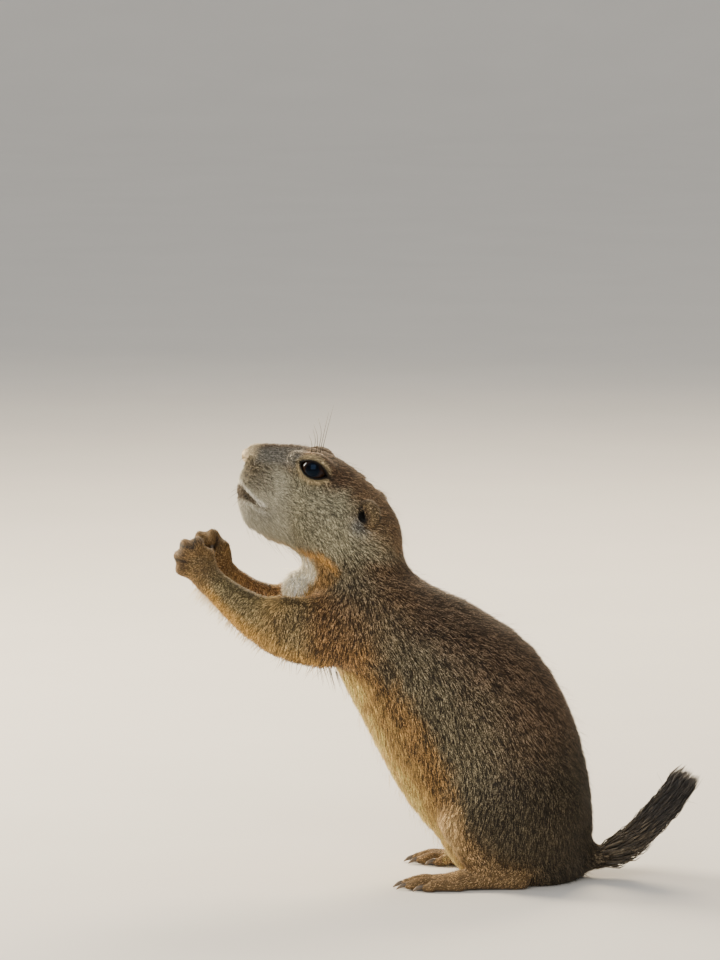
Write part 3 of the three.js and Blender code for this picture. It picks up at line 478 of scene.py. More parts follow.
class Flesh:
    """The whole body as one smooth field, drawn in by the depth of the coat."""

    def __init__(self) -> None:
        """Builds the trunk, the limbs and the masses of both sides."""
        self.trunk, self.skull = Tube(Zone.TRUNK, TRUNK), Tube(Zone.HEAD, SKULL)
        self.tail = Tube(Zone.TAIL, TAIL)
        limbs = {Zone.ARM: SHOULDER, Zone.FOREARM: FOREARM, Zone.THIGH: THIGH, Zone.SHANK: SHANK,
                 Zone.FOOT: SOLE}
        self.pairs = {s: {zone: Tube(zone, rows[s] if zone is Zone.FOREARM else rows, s)
                          for zone, rows in limbs.items()} for s in SIDES}
        self.cheeks, self.orbits, self.brows, self.pads = (
            [Mass(*mass, side) for side in SIDES]
            for mass in (((-103, 14.5, 169), (15, 8.5, 13), 25, 1.4),
                         ((-108.6, 9.6, 193.6), (10.5, 6.4, 8), 24, 1.0),
                         ((-111, 11, 198.8), (11, 5, 4.2), 20, 0.9),
                         ((-137.2, 4.8, 188.6), (6.1, 5.8, 8.8), 20, 0.5)))
        self.muzzle = Mass((-134.2, 0, 200.4), (9.2, 5.6, 6.6), 12, 0.5)
        self.tip = Mass((-138.0, 0, 202.7), (3.7, 3.8, 3.2), 0, 0.3)
        self.back = [Mass((-56.6, 0, 106.3), (30, 20, 30), 0, 1.8),
                     Mass((-77, 0, 143.5), (10, 12, 10), 0, 1.8)]
        self.breast = Mass((-111, 0, 137.5), (13.5, 10, 11.5), 0, 2.4)
        self.chin = Mass((-135.7, 0, 175.4), (8, 7, 8), 40, 0.8)
        self.ears = [Ear(side) for side in SIDES]
        self.palms = {side: self.palm(side) for side in SIDES}
        thick = [2.8, 3.0, 2.8, 2.4, 1.6]
        self.hands = {s: [Bead(digit(k, s, FINGER), thick) for k in KNUCKLES] + [self.thumb(s)]
                      for s in SIDES}
        self.toes = {side: [self.toe(data, side) for data in TOES] for side in SIDES}

    def palm(self, side: int) -> list:
        """The heel of the hand and its pad, as a tapering limb and a flat mass."""
        wrist, palm = np.array(WRIST[side]), handed(PALM, side)
        flat = Mass(tuple(mirrored(palm, side)), (8.7, 4.7, 8.5), 40, 0.2, side)
        stem = Bead([wrist * 1.5 - palm * 0.5, wrist, 0.6 * wrist + 0.4 * palm, palm], [5.9, 5.9, 5.6, 4.4])
        return [flat, stem]

    def thumb(self, side: int) -> Bead:
        """The short inner digit."""
        palm, tip = handed(PALM, side), handed(THUMB, side)
        return Bead([0.55 * palm + 0.45 * tip, tip, tip + np.array([0.6, -side * 2, 0.8])], [2.0, 1.7, 1.1])

    def toe(self, data: tuple, side: int) -> Bead:
        """A toe, arched a little between its root and its tip."""
        root, tip, radius = data
        high, middle = radius - 0.4, (root[0] * 0.45 + tip[0] * 0.55, (root[1] + tip[1]) / 2)
        joints = [(root[0] + 5, root[1], high), (*middle, high + 0.9), (tip[0] + 2.8, tip[1], high),
                  (tip[0], tip[1], high - 0.2)]
        return Bead([(x, y * side, z) for x, y, z in joints], [radius * k for k in (0.85, 0.98, 0.95, 0.7)])

    def hand_gap(self, points: Array, side: int) -> Array:
        """The gap to the nearest part of a hand."""
        return np.minimum.reduce([part.gap(points) for part in self.palms[side] + self.hands[side]])

    def toes_gap(self, points: Array, side: int) -> Array:
        """The gap to the nearest toe of a foot."""
        return np.minimum.reduce([toe.gap(points) for toe in self.toes[side]])

    def gap(self, points: Array) -> Array:
        """The field of the whole body: below 0 inside the skin."""
        def pair(width: float, parts: list) -> Array:
            """Two masses melted into one field."""
            return melt(width, *(part.gap(points) for part in parts))

        def limbs(width: float, zone: Zone) -> Array:
            """Both limbs of a zone melted into one field."""
            return melt(width, *(self.pairs[side][zone].read(points).gap for side in SIDES))

        flesh = melt(12, self.trunk.read(points).gap, limbs(2, Zone.ARM))
        flesh = melt(10, flesh, limbs(2, Zone.THIGH))
        flesh = melt(8, melt(6, flesh, self.breast.gap(points)), self.tail.read(points).gap)
        skull = melt(5, melt(5, self.skull.read(points).gap, pair(1, self.cheeks)), pair(1, self.orbits))
        face = melt(2.5, melt(5, skull, pair(1, self.brows)), pair(1.2, self.pads))
        for width, mass in ((2.5, self.chin), (4.5, self.muzzle), (2.0, self.tip)):
            face = melt(width, face, mass.gap(points))
        whole = melt(14, flesh, face)
        for mass in self.back:
            whole = melt(8, whole, mass.gap(points))
        for ear in self.ears:
            whole = -melt(0.6, -melt(1.6, whole, ear.gap(points)), ear.hole(points))
        for zone, width in ((Zone.FOREARM, 6), (Zone.SHANK, 5), (Zone.FOOT, 4)):
            whole = melt(width, whole, limbs(1, zone))
        for side in SIDES:
            hand = pair(3, self.palms[side])
            for bead in self.hands[side]:
                hand = melt(2.8, hand, bead.gap(points))
            whole = melt(2.0, melt(2.5, whole, hand), self.toes_gap(points, side))
        whole = np.maximum(whole, 0.25 - points[:, 2])
        return self.lips(points, self.sockets(points, whole))

    def sockets(self, points: Array, value: Array) -> Array:
        """Swells the skin into lids over each eye and opens them to the ball in the shape of an almond."""
        for side in SIDES:
            far = np.linalg.norm(points - mirrored(EYE["at"], side), axis=1)
            near = far < 16
            edge, out = almond(points[near], side)
            lids = melt(2.2, value[near], far[near] - OPENING["lid"])
            well = np.maximum(np.maximum(edge, 5.6 - far[near]), 0.5 - out)
            value[near] = -melt(0.5, -lids, well)
        return value

    def lips(self, points: Array, value: Array) -> Array:
        """Presses the line of the mouth in, by up to 1.5 mm on that line as seen from the side."""
        near = within(points, np.array([-1000, -12, 170]), np.array([-128, 12, 192]))
        q = points[near][:, [0, 2]]
        best = to_path(q, np.array(MOUTH), np.zeros(len(MOUTH)))
        value[near] += 1.5 * bell(best / 0.7) * (0.25 + 0.75 * ease(-132.5, -137.5, q[:, 0]))
        return value

    def slope(self, points: Array, step: float = 0.12) -> tuple:
        """The field and its slope at each point, from four readings at the corners of a small tetrahedron.

        The slope is the sum of each corner's direction times its reading, over four times the step.
        Args:
            points: places near the skin. step: how far the corners are along each axis.
        Returns:
            The mean of the readings and the slope.
        """
        corners = np.array([[1, -1, -1], [-1, 1, -1], [-1, -1, 1], [1, 1, 1]])
        reads = [self.gap(points + corner * step) for corner in corners]
        slope = sum(corner * read[:, None] for corner, read in zip(corners, reads)) / (4 * step)
        return sum(reads) / 4, slope

    def survey(self, points: Array, normals: Array) -> Survey:
        """Reads each zone at the skin and works out the lie, depth and length of the coat there.

        A zone's share is e to the minus its gap over 3 mm (1.2 mm for hands and toes), and the shares add
        up to 1. They mix the zones' own lies, and the mix is then laid flat on the skin.
        Args:
            points: places on the skin. normals: the outward directions there.
        Returns:
            The survey.
        """
        n = len(points)
        total, sums = np.full(n, 1e-9), np.zeros((n, 5))
        share, rise, run = {zone: np.zeros(n) for zone in Zone}, {}, {}

        def add(zone: Zone, weight: Array, lie: Array, coat: Array, hair: Array) -> None:
            """Counts one zone in by its weight."""
            share[zone] += weight
            total[:] += weight
            sums[:, :3] += weight[:, None] * lie
            sums[:, 3] += weight * coat
            sums[:, 4] += weight * hair

        tubes = [(0, self.trunk), (0, self.skull), (0, self.tail)]
        for side, tube in tubes + [(side, tube) for side in SIDES for tube in self.pairs[side].values()]:
            r = tube.read(points)
            weight = np.exp(-np.clip(r.gap, -3, 60) / 3.0) * (r.gap < FAR)
            add(tube.zone, weight, self.grain(tube.zone, r), r.coat, r.hair)
            rise[tube.zone, side], run[tube.zone, side] = r.rise, r.run
        for side in SIDES:
            for zone, gap, lie in (
                (Zone.PAW, self.hand_gap(points, side), unit(points - np.array(WRIST[side]))),
                (Zone.FOOT, self.toes_gap(points, side), np.array([-1.0, 0, -0.2])),
            ):
                weight = np.where(gap < 6, np.exp(-np.clip(gap, -3, 60) / 1.2), 0)
                add(zone, weight, lie, 0.3, 1.3)
        share = {zone: s / total for zone, s in share.items()}
        sums /= total[:, None]
        lie = sums[:, :3] - (sums[:, :3] * normals).sum(1, keepdims=True) * normals
        return Survey(share, unit(lie), sums[:, 3].copy(), sums[:, 4].copy(), rise, run)

    def grain(self, zone: Zone, r: Reading) -> Array:
        """The lie of one zone's hair before it is laid on the skin: a mix of its axis, down and forwards."""
        level = r.rise[:, None]
        mixes = {
            Zone.TRUNK: (-1, 0.35, 0.1),
            Zone.HEAD: (-1, 0.25 * ease(-0.2, 0.9, -level), 0),
            Zone.ARM: (0.25, 1, 0),
            Zone.FOREARM: (0.32, 0.95 + 0.25 * level, 0),
            Zone.THIGH: (0.25, 1, -0.1),
            Zone.FOOT: (1, 0.2, 0),
        }
        if zone not in mixes:
            return r.along
        own, down, ahead = mixes[zone]
        return unit(own * r.along + down * DOWN + np.array([ahead, 0, 0]))

    def unwrap(self, points: Array) -> Array:
        """Places on a flat map of the skin's own shape.

        Each swept part has its own oblong of the map, with the way along it up and the way round it across,
        and each hand has one by distance from its root and the way round it.
        Args:
            points: places on the skin.
        Returns:
            Map places, two numbers a point.
        """
        tubes = [(self.trunk, 0.01, 0.01, 0.62, 0.48), (self.skull, 0.01, 0.51, 0.52, 0.98),
                 (self.tail, 0.65, 0.01, 0.99, 0.20)]
        for side, left in zip(SIDES, (0.54, 0.77)):
            oblongs = ((Zone.ARM, 0, 0.84, 0.99), (Zone.FOREARM, 0, 0.67, 0.82), (Zone.THIGH, 0, 0.50, 0.65),
                       (Zone.SHANK, 0.11, 0.40, 0.48), (Zone.FOOT, 0.11, 0.22, 0.38))
            tubes += [(self.pairs[side][zone], left + shift, low, left + 0.21, high)
                      for zone, shift, low, high in oblongs]
        best, place = np.full(len(points), FAR), np.zeros((len(points), 2))

        def claim(gap: Array, u: Array, v: Array) -> None:
            """Takes the points that are nearer to this part than to those before it."""
            closer = gap < best
            place[closer], best[closer] = np.column_stack([u, v])[closer], gap[closer]

        for tube, u0, v0, u1, v1 in tubes:
            r = tube.read(points)
            claim(r.gap, u0 + (u1 - u0) * (0.5 + r.turn / (2 * np.pi)), v0 + (v1 - v0) * r.run)
        for side, left in zip(SIDES, (0.65, 0.82)):
            ray = points - np.array(WRIST[side])
            long = unit(handed(PALM, side) - np.array(WRIST[side]))
            turn = np.arctan2(ray[:, 1], ray @ np.cross(long, np.array([0, 1.0, 0])))
            claim(self.hand_gap(points, side), left + 0.16 * (0.5 + turn / (2 * np.pi)),
                  0.22 + 0.16 * np.clip(ray @ long / 24, 0, 1))
        return place


# From a field to a skin


def ramp(stops: list) -> Array:
    """Grid lines whose spacing changes from stretch to stretch.

    Args:
        stops: pairs of a place and the spacing used from there to the next one.
    Returns:
        The lines, low to high.
    """
    lines = [np.array([stops[0][0]], float)]
    for (low, step), (high, _) in zip(stops[:-1], stops[1:]):
        count = max(1, round((high - low) / step))
        lines.append(np.linspace(low, high, count + 1)[1:])
    return np.concatenate(lines)


@dataclass
class Net:
    """A surface net: one point in each grid cell that the field's zero surface passes through.

    Each point is the mean of the places where the surface crosses the cell's twelve edges, found by
    straight-line interpolation. Each grid edge that is crossed gives one four-sided face between the four
    cells round it.
    """

    axes: tuple
    block: int = 4

    def values(self, gap: Callable[[Array], Array]) -> Array:
        """Samples the field on the grid, in full only in blocks that the surface may cross."""
        xs, ys, zs = self.axes
        pick = [np.unique(np.append(np.arange(0, len(a), self.block), len(a) - 1)) for a in self.axes]
        rough = np.stack(np.meshgrid(xs[pick[0]], ys[pick[1]], zs[pick[2]], indexing="ij"), -1)
        coarse = gap(rough.reshape(-1, 3)).reshape(rough.shape[:3])
        shape = tuple(n - 1 for n in coarse.shape)
        corners = [coarse[i : shape[0] + i, j : shape[1] + j, k : shape[2] + k]
                   for i in (0, 1) for j in (0, 1) for k in (0, 1)]
        span = [np.diff(a[p]) for a, p in zip(self.axes, pick)]
        reach = np.sqrt(
            span[0][:, None, None] ** 2 + span[1][None, :, None] ** 2 + span[2][None, None, :] ** 2
        )
        least, most = np.minimum.reduce(corners), np.maximum.reduce(corners)
        active = (least < reach) & (most > -reach)
        label = [np.clip(np.searchsorted(p, np.arange(len(a)), "right") - 1, 0, n - 1)
                 for a, p, n in zip(self.axes, pick, shape)]
        fill = np.where(least > 0, FAR, -FAR)
        grid = fill[np.ix_(*label)]
        wanted = active[np.ix_(*label)]
        for axis in range(3):
            wanted |= np.roll(wanted, 1, axis)
        i, j, k = np.nonzero(wanted)
        grid[i, j, k] = gap(np.column_stack([xs[i], ys[j], zs[k]]))
        return grid

    def build(self, gap: Callable[[Array], Array]) -> tuple:
        """Makes the points and the four-sided faces, which are turned so that they look outwards."""
        grid = self.values(gap)
        inside = grid < 0
        whole = [inside[i : inside.shape[0] - 1 + i, j : inside.shape[1] - 1 + j, k : inside.shape[2] - 1 + k]
                 for i in (0, 1) for j in (0, 1) for k in (0, 1)]
        count = sum(w.astype(np.int8) for w in whole)
        cells = np.argwhere((count > 0) & (count < 8))
        total, hits = np.zeros((len(cells), 3)), np.zeros(len(cells))
        lines = self.axes
        for axis in range(3):
            one, two = [a for a in range(3) if a != axis]
            for d1 in (0, 1):
                for d2 in (0, 1):
                    a = cells.copy()
                    a[:, one] += d1
                    a[:, two] += d2
                    b = a.copy()
                    b[:, axis] += 1
                    va, vb = grid[tuple(a.T)], grid[tuple(b.T)]
                    cross = (va < 0) != (vb < 0)
                    t = np.where(cross, va / np.where(cross, va - vb, 1), 0)
                    p = np.column_stack([lines[c][a[:, c]] for c in range(3)]).astype(float)
                    p[:, axis] += t * (lines[axis][b[:, axis]] - lines[axis][a[:, axis]])
                    total += p * cross[:, None]
                    hits += cross
        points = total / hits[:, None]
        index = np.full(grid.shape, -1, np.int32)
        index[tuple(cells.T)] = np.arange(len(cells))
        faces = []
        for axis in range(3):
            one, two = (axis + 1) % 3, (axis + 2) % 3
            low = [slice(None)] * 3
            high = [slice(None)] * 3
            low[axis], high[axis] = slice(0, -1), slice(1, None)
            edges = np.argwhere(inside[tuple(low)] != inside[tuple(high)])
            edges = edges[(edges[:, one] > 0) & (edges[:, two] > 0)]
            ring = []
            for d1, d2 in ((1, 1), (0, 1), (0, 0), (1, 0)):
                c = edges.copy()
                c[:, one] -= d1
                c[:, two] -= d2
                ring.append(index[tuple(c.T)])
            ring = np.column_stack(ring)
            flip = ~inside[tuple(edges.T)]
            ring[flip] = ring[flip][:, ::-1]
            faces.append(ring)
        faces = np.vstack(faces)
        return points, faces[(faces >= 0).all(1)]


def largest_surface(count: int, faces: Array) -> Array:
    """Which faces belong to the largest joined surface: each point takes the least label next to it.

    Args:
        count: how many points there are. faces: their indices, one row a face.
    Returns:
        True for each face that is kept.
    """
    label = np.arange(count)
    for _ in range(400):
        least = label[faces].min(1)
        fresh = label.copy()
        for corner in faces.T:
            np.minimum.at(fresh, corner, least)
        fresh = fresh[fresh]
        if (fresh == label).all():
            break
        label = fresh
    keys, sizes = np.unique(label[faces[:, 0]], return_counts=True)
    return label[faces[:, 0]] == keys[sizes.argmax()]


def closed(points: Array, faces: Array) -> tuple:
    """Only the points and faces of the largest joined surface, numbered afresh."""
    faces = faces[largest_surface(len(points), faces)]
    used, flat = np.unique(faces, return_inverse=True)
    return points[used], flat.reshape(faces.shape)


def mesh_object(name: str, points: Array, faces: Array) -> bpy.types.Object:
    """A smooth-shaded mesh object from whole arrays.

    Args:
        name: the object's name. points: places in millimetres. faces: point indices, three or four to a row.
    Returns:
        The object, linked into the scene.
    """
    mesh = bpy.data.meshes.new(name)
    mesh.vertices.add(len(points))
    mesh.vertices.foreach_set("co", (np.asarray(points) * MM).astype(np.float32).ravel())
    mesh.loops.add(faces.size)
    mesh.loops.foreach_set("vertex_index", np.asarray(faces, np.int32).ravel())
    mesh.polygons.add(len(faces))
    mesh.polygons.foreach_set("loop_start", np.arange(0, faces.size, faces.shape[1], dtype=np.int32))
    mesh.polygons.foreach_set("use_smooth", np.full(len(faces), True))
    mesh.update(calc_edges=True)
    piece = bpy.data.objects.new(name, mesh)
    bpy.context.scene.collection.objects.link(piece)
    return piece


def paint(piece: bpy.types.Object, name: str, colours: Array) -> None:
    """Stores one linear colour for each point under a name that a material reads."""
    rgba = np.ones((len(colours), 4), np.float32)
    rgba[:, :3] = colours
    layer = piece.data.attributes.new(name, "FLOAT_COLOR", "POINT")
    layer.data.foreach_set("color", rgba.ravel())


def note(piece: bpy.types.Object, name: str, values: Array) -> None:
    """Stores one number for each point under a name that a material reads."""
    layer = piece.data.attributes.new(name, "FLOAT", "POINT")
    layer.data.foreach_set("value", values.astype(np.float32))


def lay_map(piece: bpy.types.Object, faces: Array, place: Array) -> None:
    """Stores each point's place on the flat map, corner by corner."""
    layer = piece.data.uv_layers.new(name="OFBake")
    layer.data.foreach_set("uv", place[faces.ravel()].astype(np.float32).ravel())


def outward(points: Array, faces: Array) -> Array:
    """The faces, turned so that the volume they hold is above 0."""
    p, corners = points[faces], range(1, faces.shape[1] - 1)
    volume = sum(np.einsum("ij,ij->i", p[:, 0], np.cross(p[:, k], p[:, k + 1])).sum() for k in corners)
    return faces if volume > 0 else faces[:, ::-1]


def copies(one: Array, count: int) -> Array:
    """The faces of one tuft again for each of many, whose points follow one another."""
    return (np.arange(count)[:, None, None] * (one.max() + 1) + one[None]).reshape(-1, 3)


def run_along(count: int, rings: int, sides: int) -> Array:
    """For many wrapped shapes, how far along each point is: 0 at the first ring, 1 at the last."""
    return np.tile(np.append(np.repeat(np.linspace(0, 1, rings), sides), [0, 1]), count)


def wrap(rings: Array) -> tuple:
    """A closed skin over rings of points, each end closed by a fan round its mean.

    Args:
        rings: an array of ring by place by xyz, each ring going round the same way.
    Returns:
        Points and triangles, turned so that the volume they hold is above 0.
    """
    n, m = rings.shape[:2]
    points = np.vstack([rings.reshape(-1, 3), rings[0].mean(0), rings[-1].mean(0)])
    i, j = np.meshgrid(np.arange(n - 1), np.arange(m), indexing="ij")
    a, b = i * m + j, i * m + (j + 1) % m
    c, d = b + m, a + m
    side = np.stack([np.stack([a, b, c], -1), np.stack([a, c, d], -1)]).reshape(-1, 3)
    j = np.arange(m)
    start = np.column_stack([np.full(m, n * m), (j + 1) % m, j])
    end = np.column_stack([np.full(m, n * m + 1), (n - 1) * m + j, (n - 1) * m + (j + 1) % m])
    return points, outward(points, np.vstack([side, start, end]))


def carried(path: Array, radii: Array, sides: int, up: tuple, flat: float = 1.0) -> Array:
    """Rings of a round or flattened section carried along a path.

    Each ring is centre + radius (flat cos a . high + sin a . wide), with wide = along x up and
    high = wide x along.
    """
    along = unit(np.gradient(path, axis=0))
    wide = unit(np.cross(along, np.array(up, float)))
    high = np.cross(wide, along)
    a = np.arange(sides) / sides * 2 * np.pi
    out = np.cos(a)[None, :, None] * high[:, None] * flat + np.sin(a)[None, :, None] * wide[:, None]
    return path[:, None] + np.asarray(radii)[:, None, None] * out


def join(parts: list) -> tuple:
    """Several meshes of points and triangles as one."""
    shift = np.cumsum([0] + [len(p) for p, _ in parts[:-1]])
    return np.vstack([p for p, _ in parts]), np.vstack([f + s for (_, f), s in zip(parts, shift)])


# Colours and markings


@dataclass(frozen=True)
class Palette:
    """Linear colours of the coat, each as it looks a little way off."""

    back: tuple = (0.078, 0.05, 0.029)
    flank: tuple = (0.096, 0.079, 0.047)
    # The buff underside, brightened and warmed to orange by painted sunlight.
    belly: tuple = (0.78, 0.5, 0.16)
    belly_side: tuple = (0.18, 0.102, 0.034)
    # The cream-white breast, raised close to white by painted sunlight.
    breast: tuple = (1.0, 0.93, 0.69)
    # Pale buff under the jaw, brightened by painted sunlight along its edge.
    jaw: tuple = (0.83, 0.56, 0.26)
    gold: tuple = (0.34, 0.2, 0.072)
    # The throat band's buff, made a strong orange by painted sunlight.
    throat: tuple = (0.56, 0.29, 0.07)
    nape: tuple = (0.14, 0.088, 0.044)
    crown: tuple = (0.085, 0.05, 0.026)
    cheek: tuple = (0.225, 0.205, 0.134)
    muzzle: tuple = (0.4, 0.375, 0.28)
    # Pale cream of the top of the nose where the sun falls on it: painted light.
    sunlit_bridge: tuple = (0.76, 0.62, 0.4)
    # Orange of the brow arches where the light catches them: painted highlight.
    brow: tuple = (0.38, 0.21, 0.08)
    pad: tuple = (0.12, 0.074, 0.026)
    lip: tuple = (0.95, 0.9, 0.76)
    # Dark brown of painted shade: the mouth's gape, the ear's cup, and the faces and ends of the fingers.
    mouth: tuple = (0.06, 0.036, 0.018)
    chin: tuple = (0.195, 0.19, 0.165)
    eye_ring: tuple = (0.5, 0.4, 0.235)
    ear: tuple = (0.15, 0.104, 0.054)
    ear_rim: tuple = (0.21, 0.15, 0.078)
    # Near black, painted shade in the ear's opening.
    ear_inside: tuple = (0.014, 0.011, 0.01)
    ear_tuft: tuple = (0.17, 0.185, 0.185)
    shoulder: tuple = (0.128, 0.068, 0.026)
    forearm: tuple = (0.2, 0.155, 0.074)
    # The buff underside of the arm, warmed to orange by painted sunlight.
    under_arm: tuple = (0.48, 0.27, 0.06)
    inner_arm: tuple = (0.26, 0.13, 0.046)
    hand: tuple = (0.165, 0.098, 0.037)
    # The haunch's own dark brown, made darker still by painted shade.
    shaded_haunch: tuple = (0.034, 0.026, 0.014)
    # Pale tan of the shin's front where the sun falls on it: painted light.
    knee: tuple = (0.64, 0.42, 0.19)
    foot: tuple = (0.23, 0.145, 0.066)
    tail: tuple = (0.05, 0.036, 0.021)
    brush: tuple = (0.014, 0.01, 0.008)
    # The darkest brown: dark hair tips, whisker spots and the rims and corners of the eyes, and also painted
    # shade in the flank's folds, between fingers, at the mouth and nostrils and round the ear flaps.
    dark: tuple = (0.016, 0.012, 0.009)
    pale: tuple = (0.52, 0.41, 0.27)


# Painted shade on the near hand, as (x, z): dark spots under the finger ends, and dark lines in the gaps
# between fingers.
FINGER_END_SHADE = [(-172.4, 156.9), (-171.4, 150.9), (-168.6, 161.6), (-163.6, 162.0)]
FINGER_GAP_SHADE = [
    ((-175.5, 152.3), (-168.8, 151.9)),
    ((-174.0, 158.9), (-165.8, 157.9)),
    ((-165.4, 162.8), (-165.8, 157.9)),
]


@dataclass
class Canvas:
    """The colours laid so far, one row a point."""

    base: Array

    def lay(self, colour: tuple, amount: Array) -> None:
        """Mixes one colour over the others by an amount from 0 to 1 at each point."""
        share = np.clip(amount, 0, 1)[:, None]
        self.base = self.base * (1 - share) + np.array(colour) * share


@dataclass(frozen=True)
class Markings:
    """Where each colour of the coat lies. The skin and every tuft ask the same function."""

    palette: Palette = Palette()

    def colours(self, points: Array, survey: Survey) -> tuple:
        """The base colour and the strength of the grain at each point.

        Args:
            points: places on the skin. survey: the flesh's reading of them.
        Returns:
            Linear colours, one row a point, and the grain from 0, plain, to 1, strongly ticked.
        """
        c, p = self.palette, points
        x, y, z = p.T
        side = np.abs(y)
        wander = mottle(p, 9.0, 3.0)
        rise = survey.rise[Zone.TRUNK, 0] + 0.12 * wander
        coat = Canvas(np.tile(np.array(c.back), (len(p), 1)))
        coat.lay(c.flank, ease(0.75, -0.1, rise))
        coat.lay(c.belly_side, ease(-0.20, -0.55, rise))
        # The underside in its own buff, with painted sunlight in its brightness and orange.
        coat.lay(c.belly, ease(-0.60, -0.90, rise))
        grain = 1.0 - 0.12 * ease(-0.3, -0.75, rise)
        # Painted shade: dark stripes in the folds of the flank below the arm.
        fold_shade = 0.5 + 0.5 * np.sin(2.6 * (x - 0.25 * z))
        crease = spot(p, (-74, 0, 102), (5, 60, 11)) * ease(14, 20, side) * fold_shade
        coat.lay(c.dark, crease * 0.75)
        # The lower rear: the haunch's own dark brown, deepened by painted shade.
        coat.lay(c.shaded_haunch, ease(84, 42, z - 0.6 * x) * ease(-44, -24, x) * 0.95)
        # The same colour at the front of the lower belly: buff hair with painted sunlight on its edge.
        coat.lay(c.belly, ease(-42, -66, x) * ease(75, 40, z) * ease(26, 14, side))
        arm = survey.share[Zone.ARM]
        coat.lay(c.shoulder, arm * 0.8)
        coat.lay(c.nape, spot(p, (-82, 0, 140), (16, 40, 22)) * ease(0.1, 0.6, rise) * 0.8)
        fore = survey.share[Zone.FOREARM]
        low = np.where(y < 0, survey.rise[Zone.FOREARM, LEFT], survey.rise[Zone.FOREARM, RIGHT])
        coat.lay(c.forearm, np.maximum(fore, arm * ease(-102, -118, x) * 0.8))
        # The underside of the forearm and arm: its own buff, with painted sunlight in its orange.
        coat.lay(c.under_arm, fore * ease(0.05, -0.7, low))
        coat.lay(c.under_arm, arm * ease(-84, -118, x) * ease(-0.1, -0.8, low) * 0.75)
        axis = np.interp(x, [-156, -150, -142, -133, -125], [11.5, 16, 20, 23.6, 24.5])
        inside = ease(0.5, -2.5, side - axis) * ease(0.1, 0.5, arm + fore + survey.share[Zone.PAW])
        coat.lay(c.inner_arm, inside * ease(-100, -112, x) * 0.85)
        coat.lay(c.hand, survey.share[Zone.PAW] * 1.3)
        coat.lay(c.foot, (survey.share[Zone.FOOT] + 0.7 * survey.share[Zone.SHANK]) * 1.2)
        # Painted shade over the faces of the fingers.
        coat.lay(c.mouth, spot(p, (-173, 0, 152), (4, 60, 12)) * 0.35)
        # Painted shade on the near hand: spots under the finger ends and lines in the gaps between fingers.
        near = ease(-2, -5, p[:, 1]) * ease(-159, -162, x) * ease(140, 144, z)
        for at in FINGER_END_SHADE:
            coat.lay(c.mouth, near * spot(p, (at[0] + 0.8, -12, at[1] - 1.3), (2.0, 30, 1.9)) * 0.8)
        for start, end in FINGER_GAP_SHADE:
            coat.lay(c.dark, near * stroke(p, start, end, 0.75) * 0.95)
        # Painted light: a pale tan strip down the front of the shin, where the sun falls on it.
        ragged = x + 1.5 * mottle(p, 2.6, 8.0)
        sunlit_shin = ease(-33, -40, ragged) * ease(-50, -45, x) * ease(46, 36, z + ragged - x) * ease(6, 12, z)
        coat.lay(c.knee, sunlit_shin * ease(16, 24, side) * 0.9)
        tail = survey.share[Zone.TAIL]
        run = survey.run[Zone.TAIL, 0]
        coat.lay(c.tail, tail * ease(0.0, 0.4, run))
        coat.lay(c.brush, tail * ease(0.45, 0.8, run))
        grain = grain * (1 - 0.6 * survey.share[Zone.PAW]) * (1 - 0.5 * tail * ease(0.5, 0.9, run))
        return self.face(p, coat, grain, survey)

    def face(self, p: Array, coat: Canvas, grain: Array, survey: Survey) -> tuple:
        """Lays the colours of the head over the rest, and then those of each eye and ear."""
        c = self.palette
        x, y, z = p.T
        side = np.abs(y)
        head = ease(0.1, 0.6, survey.share[Zone.HEAD])
        rise = survey.rise[Zone.HEAD, 0] + 0.1 * mottle(p, 7.0, 9.0)
        coat.lay(c.cheek, head)
        coat.lay(c.crown, head * ease(0.35, 0.75, rise))
        coat.lay(c.nape, head * ease(-98, -86, x) * ease(-0.2, 0.5, rise) * 0.8)
        middle = np.interp(x, [-122, -112.5, -106, -101, -97], [161.5, 159, 158, 155.2, 150.5])
        front = ease(-88, -97, x) * ease(-136, -131, x) * ease(126, 136, z) * ease(21, 15, side)
        coat.lay(c.gold, front * ease(-92, -100, x) * ease(0, -3, z - middle) * 0.7)
        edge = x + 101.8 - 1.17 * (z - 151.5) + 1.2 * mottle(p, 4.0, 6.0)
        # The breast's own cream-white patch, raised close to white as painted sunlight.
        breast = front * ease(1.8, -1.8, edge) * ease(18, 12, side)
        coat.lay(c.breast, breast * ease(0, -2.5, z - middle))
        # The orange throat band: buff hair with painted sunlight on it.
        band = (z - middle + 0.5 * mottle(p, 6.0, 4.0)) / 2.2
        coat.lay(c.throat, bell(band) * ease(-94, -100, x) * ease(-125, -120, x) * 0.95)
        coat.lay(c.muzzle, head * ease(-117, -128, x) * ease(0.8, 0.2, rise))
        # The strip along the jaw's lower edge: pale buff hair with painted sunlight on it.
        under = np.interp(x, [-140, -133, -127, -122, -116], [168.0, 164.0, 162.0, 160.8, 159.6])
        strip = bell((z - under + 0.4 * mottle(p, 4.0, 5.0)) / 1.7) * ease(-139, -134, x)
        coat.lay(c.jaw, strip * ease(-114, -119, x) * 0.75)
        coat.lay(c.chin, head * spot(p, (-134, 0, 176), (6, 14, 5)) * 0.9)
        # The chin's own pale hair, brightened at its front edge as painted light.
        jaw = spot(p, (-143, 0, 176.5), (4, 9, 6)) + spot(p, (-137, 0, 169), (6, 5, 4))
        coat.lay(c.lip, head * jaw * 0.55)
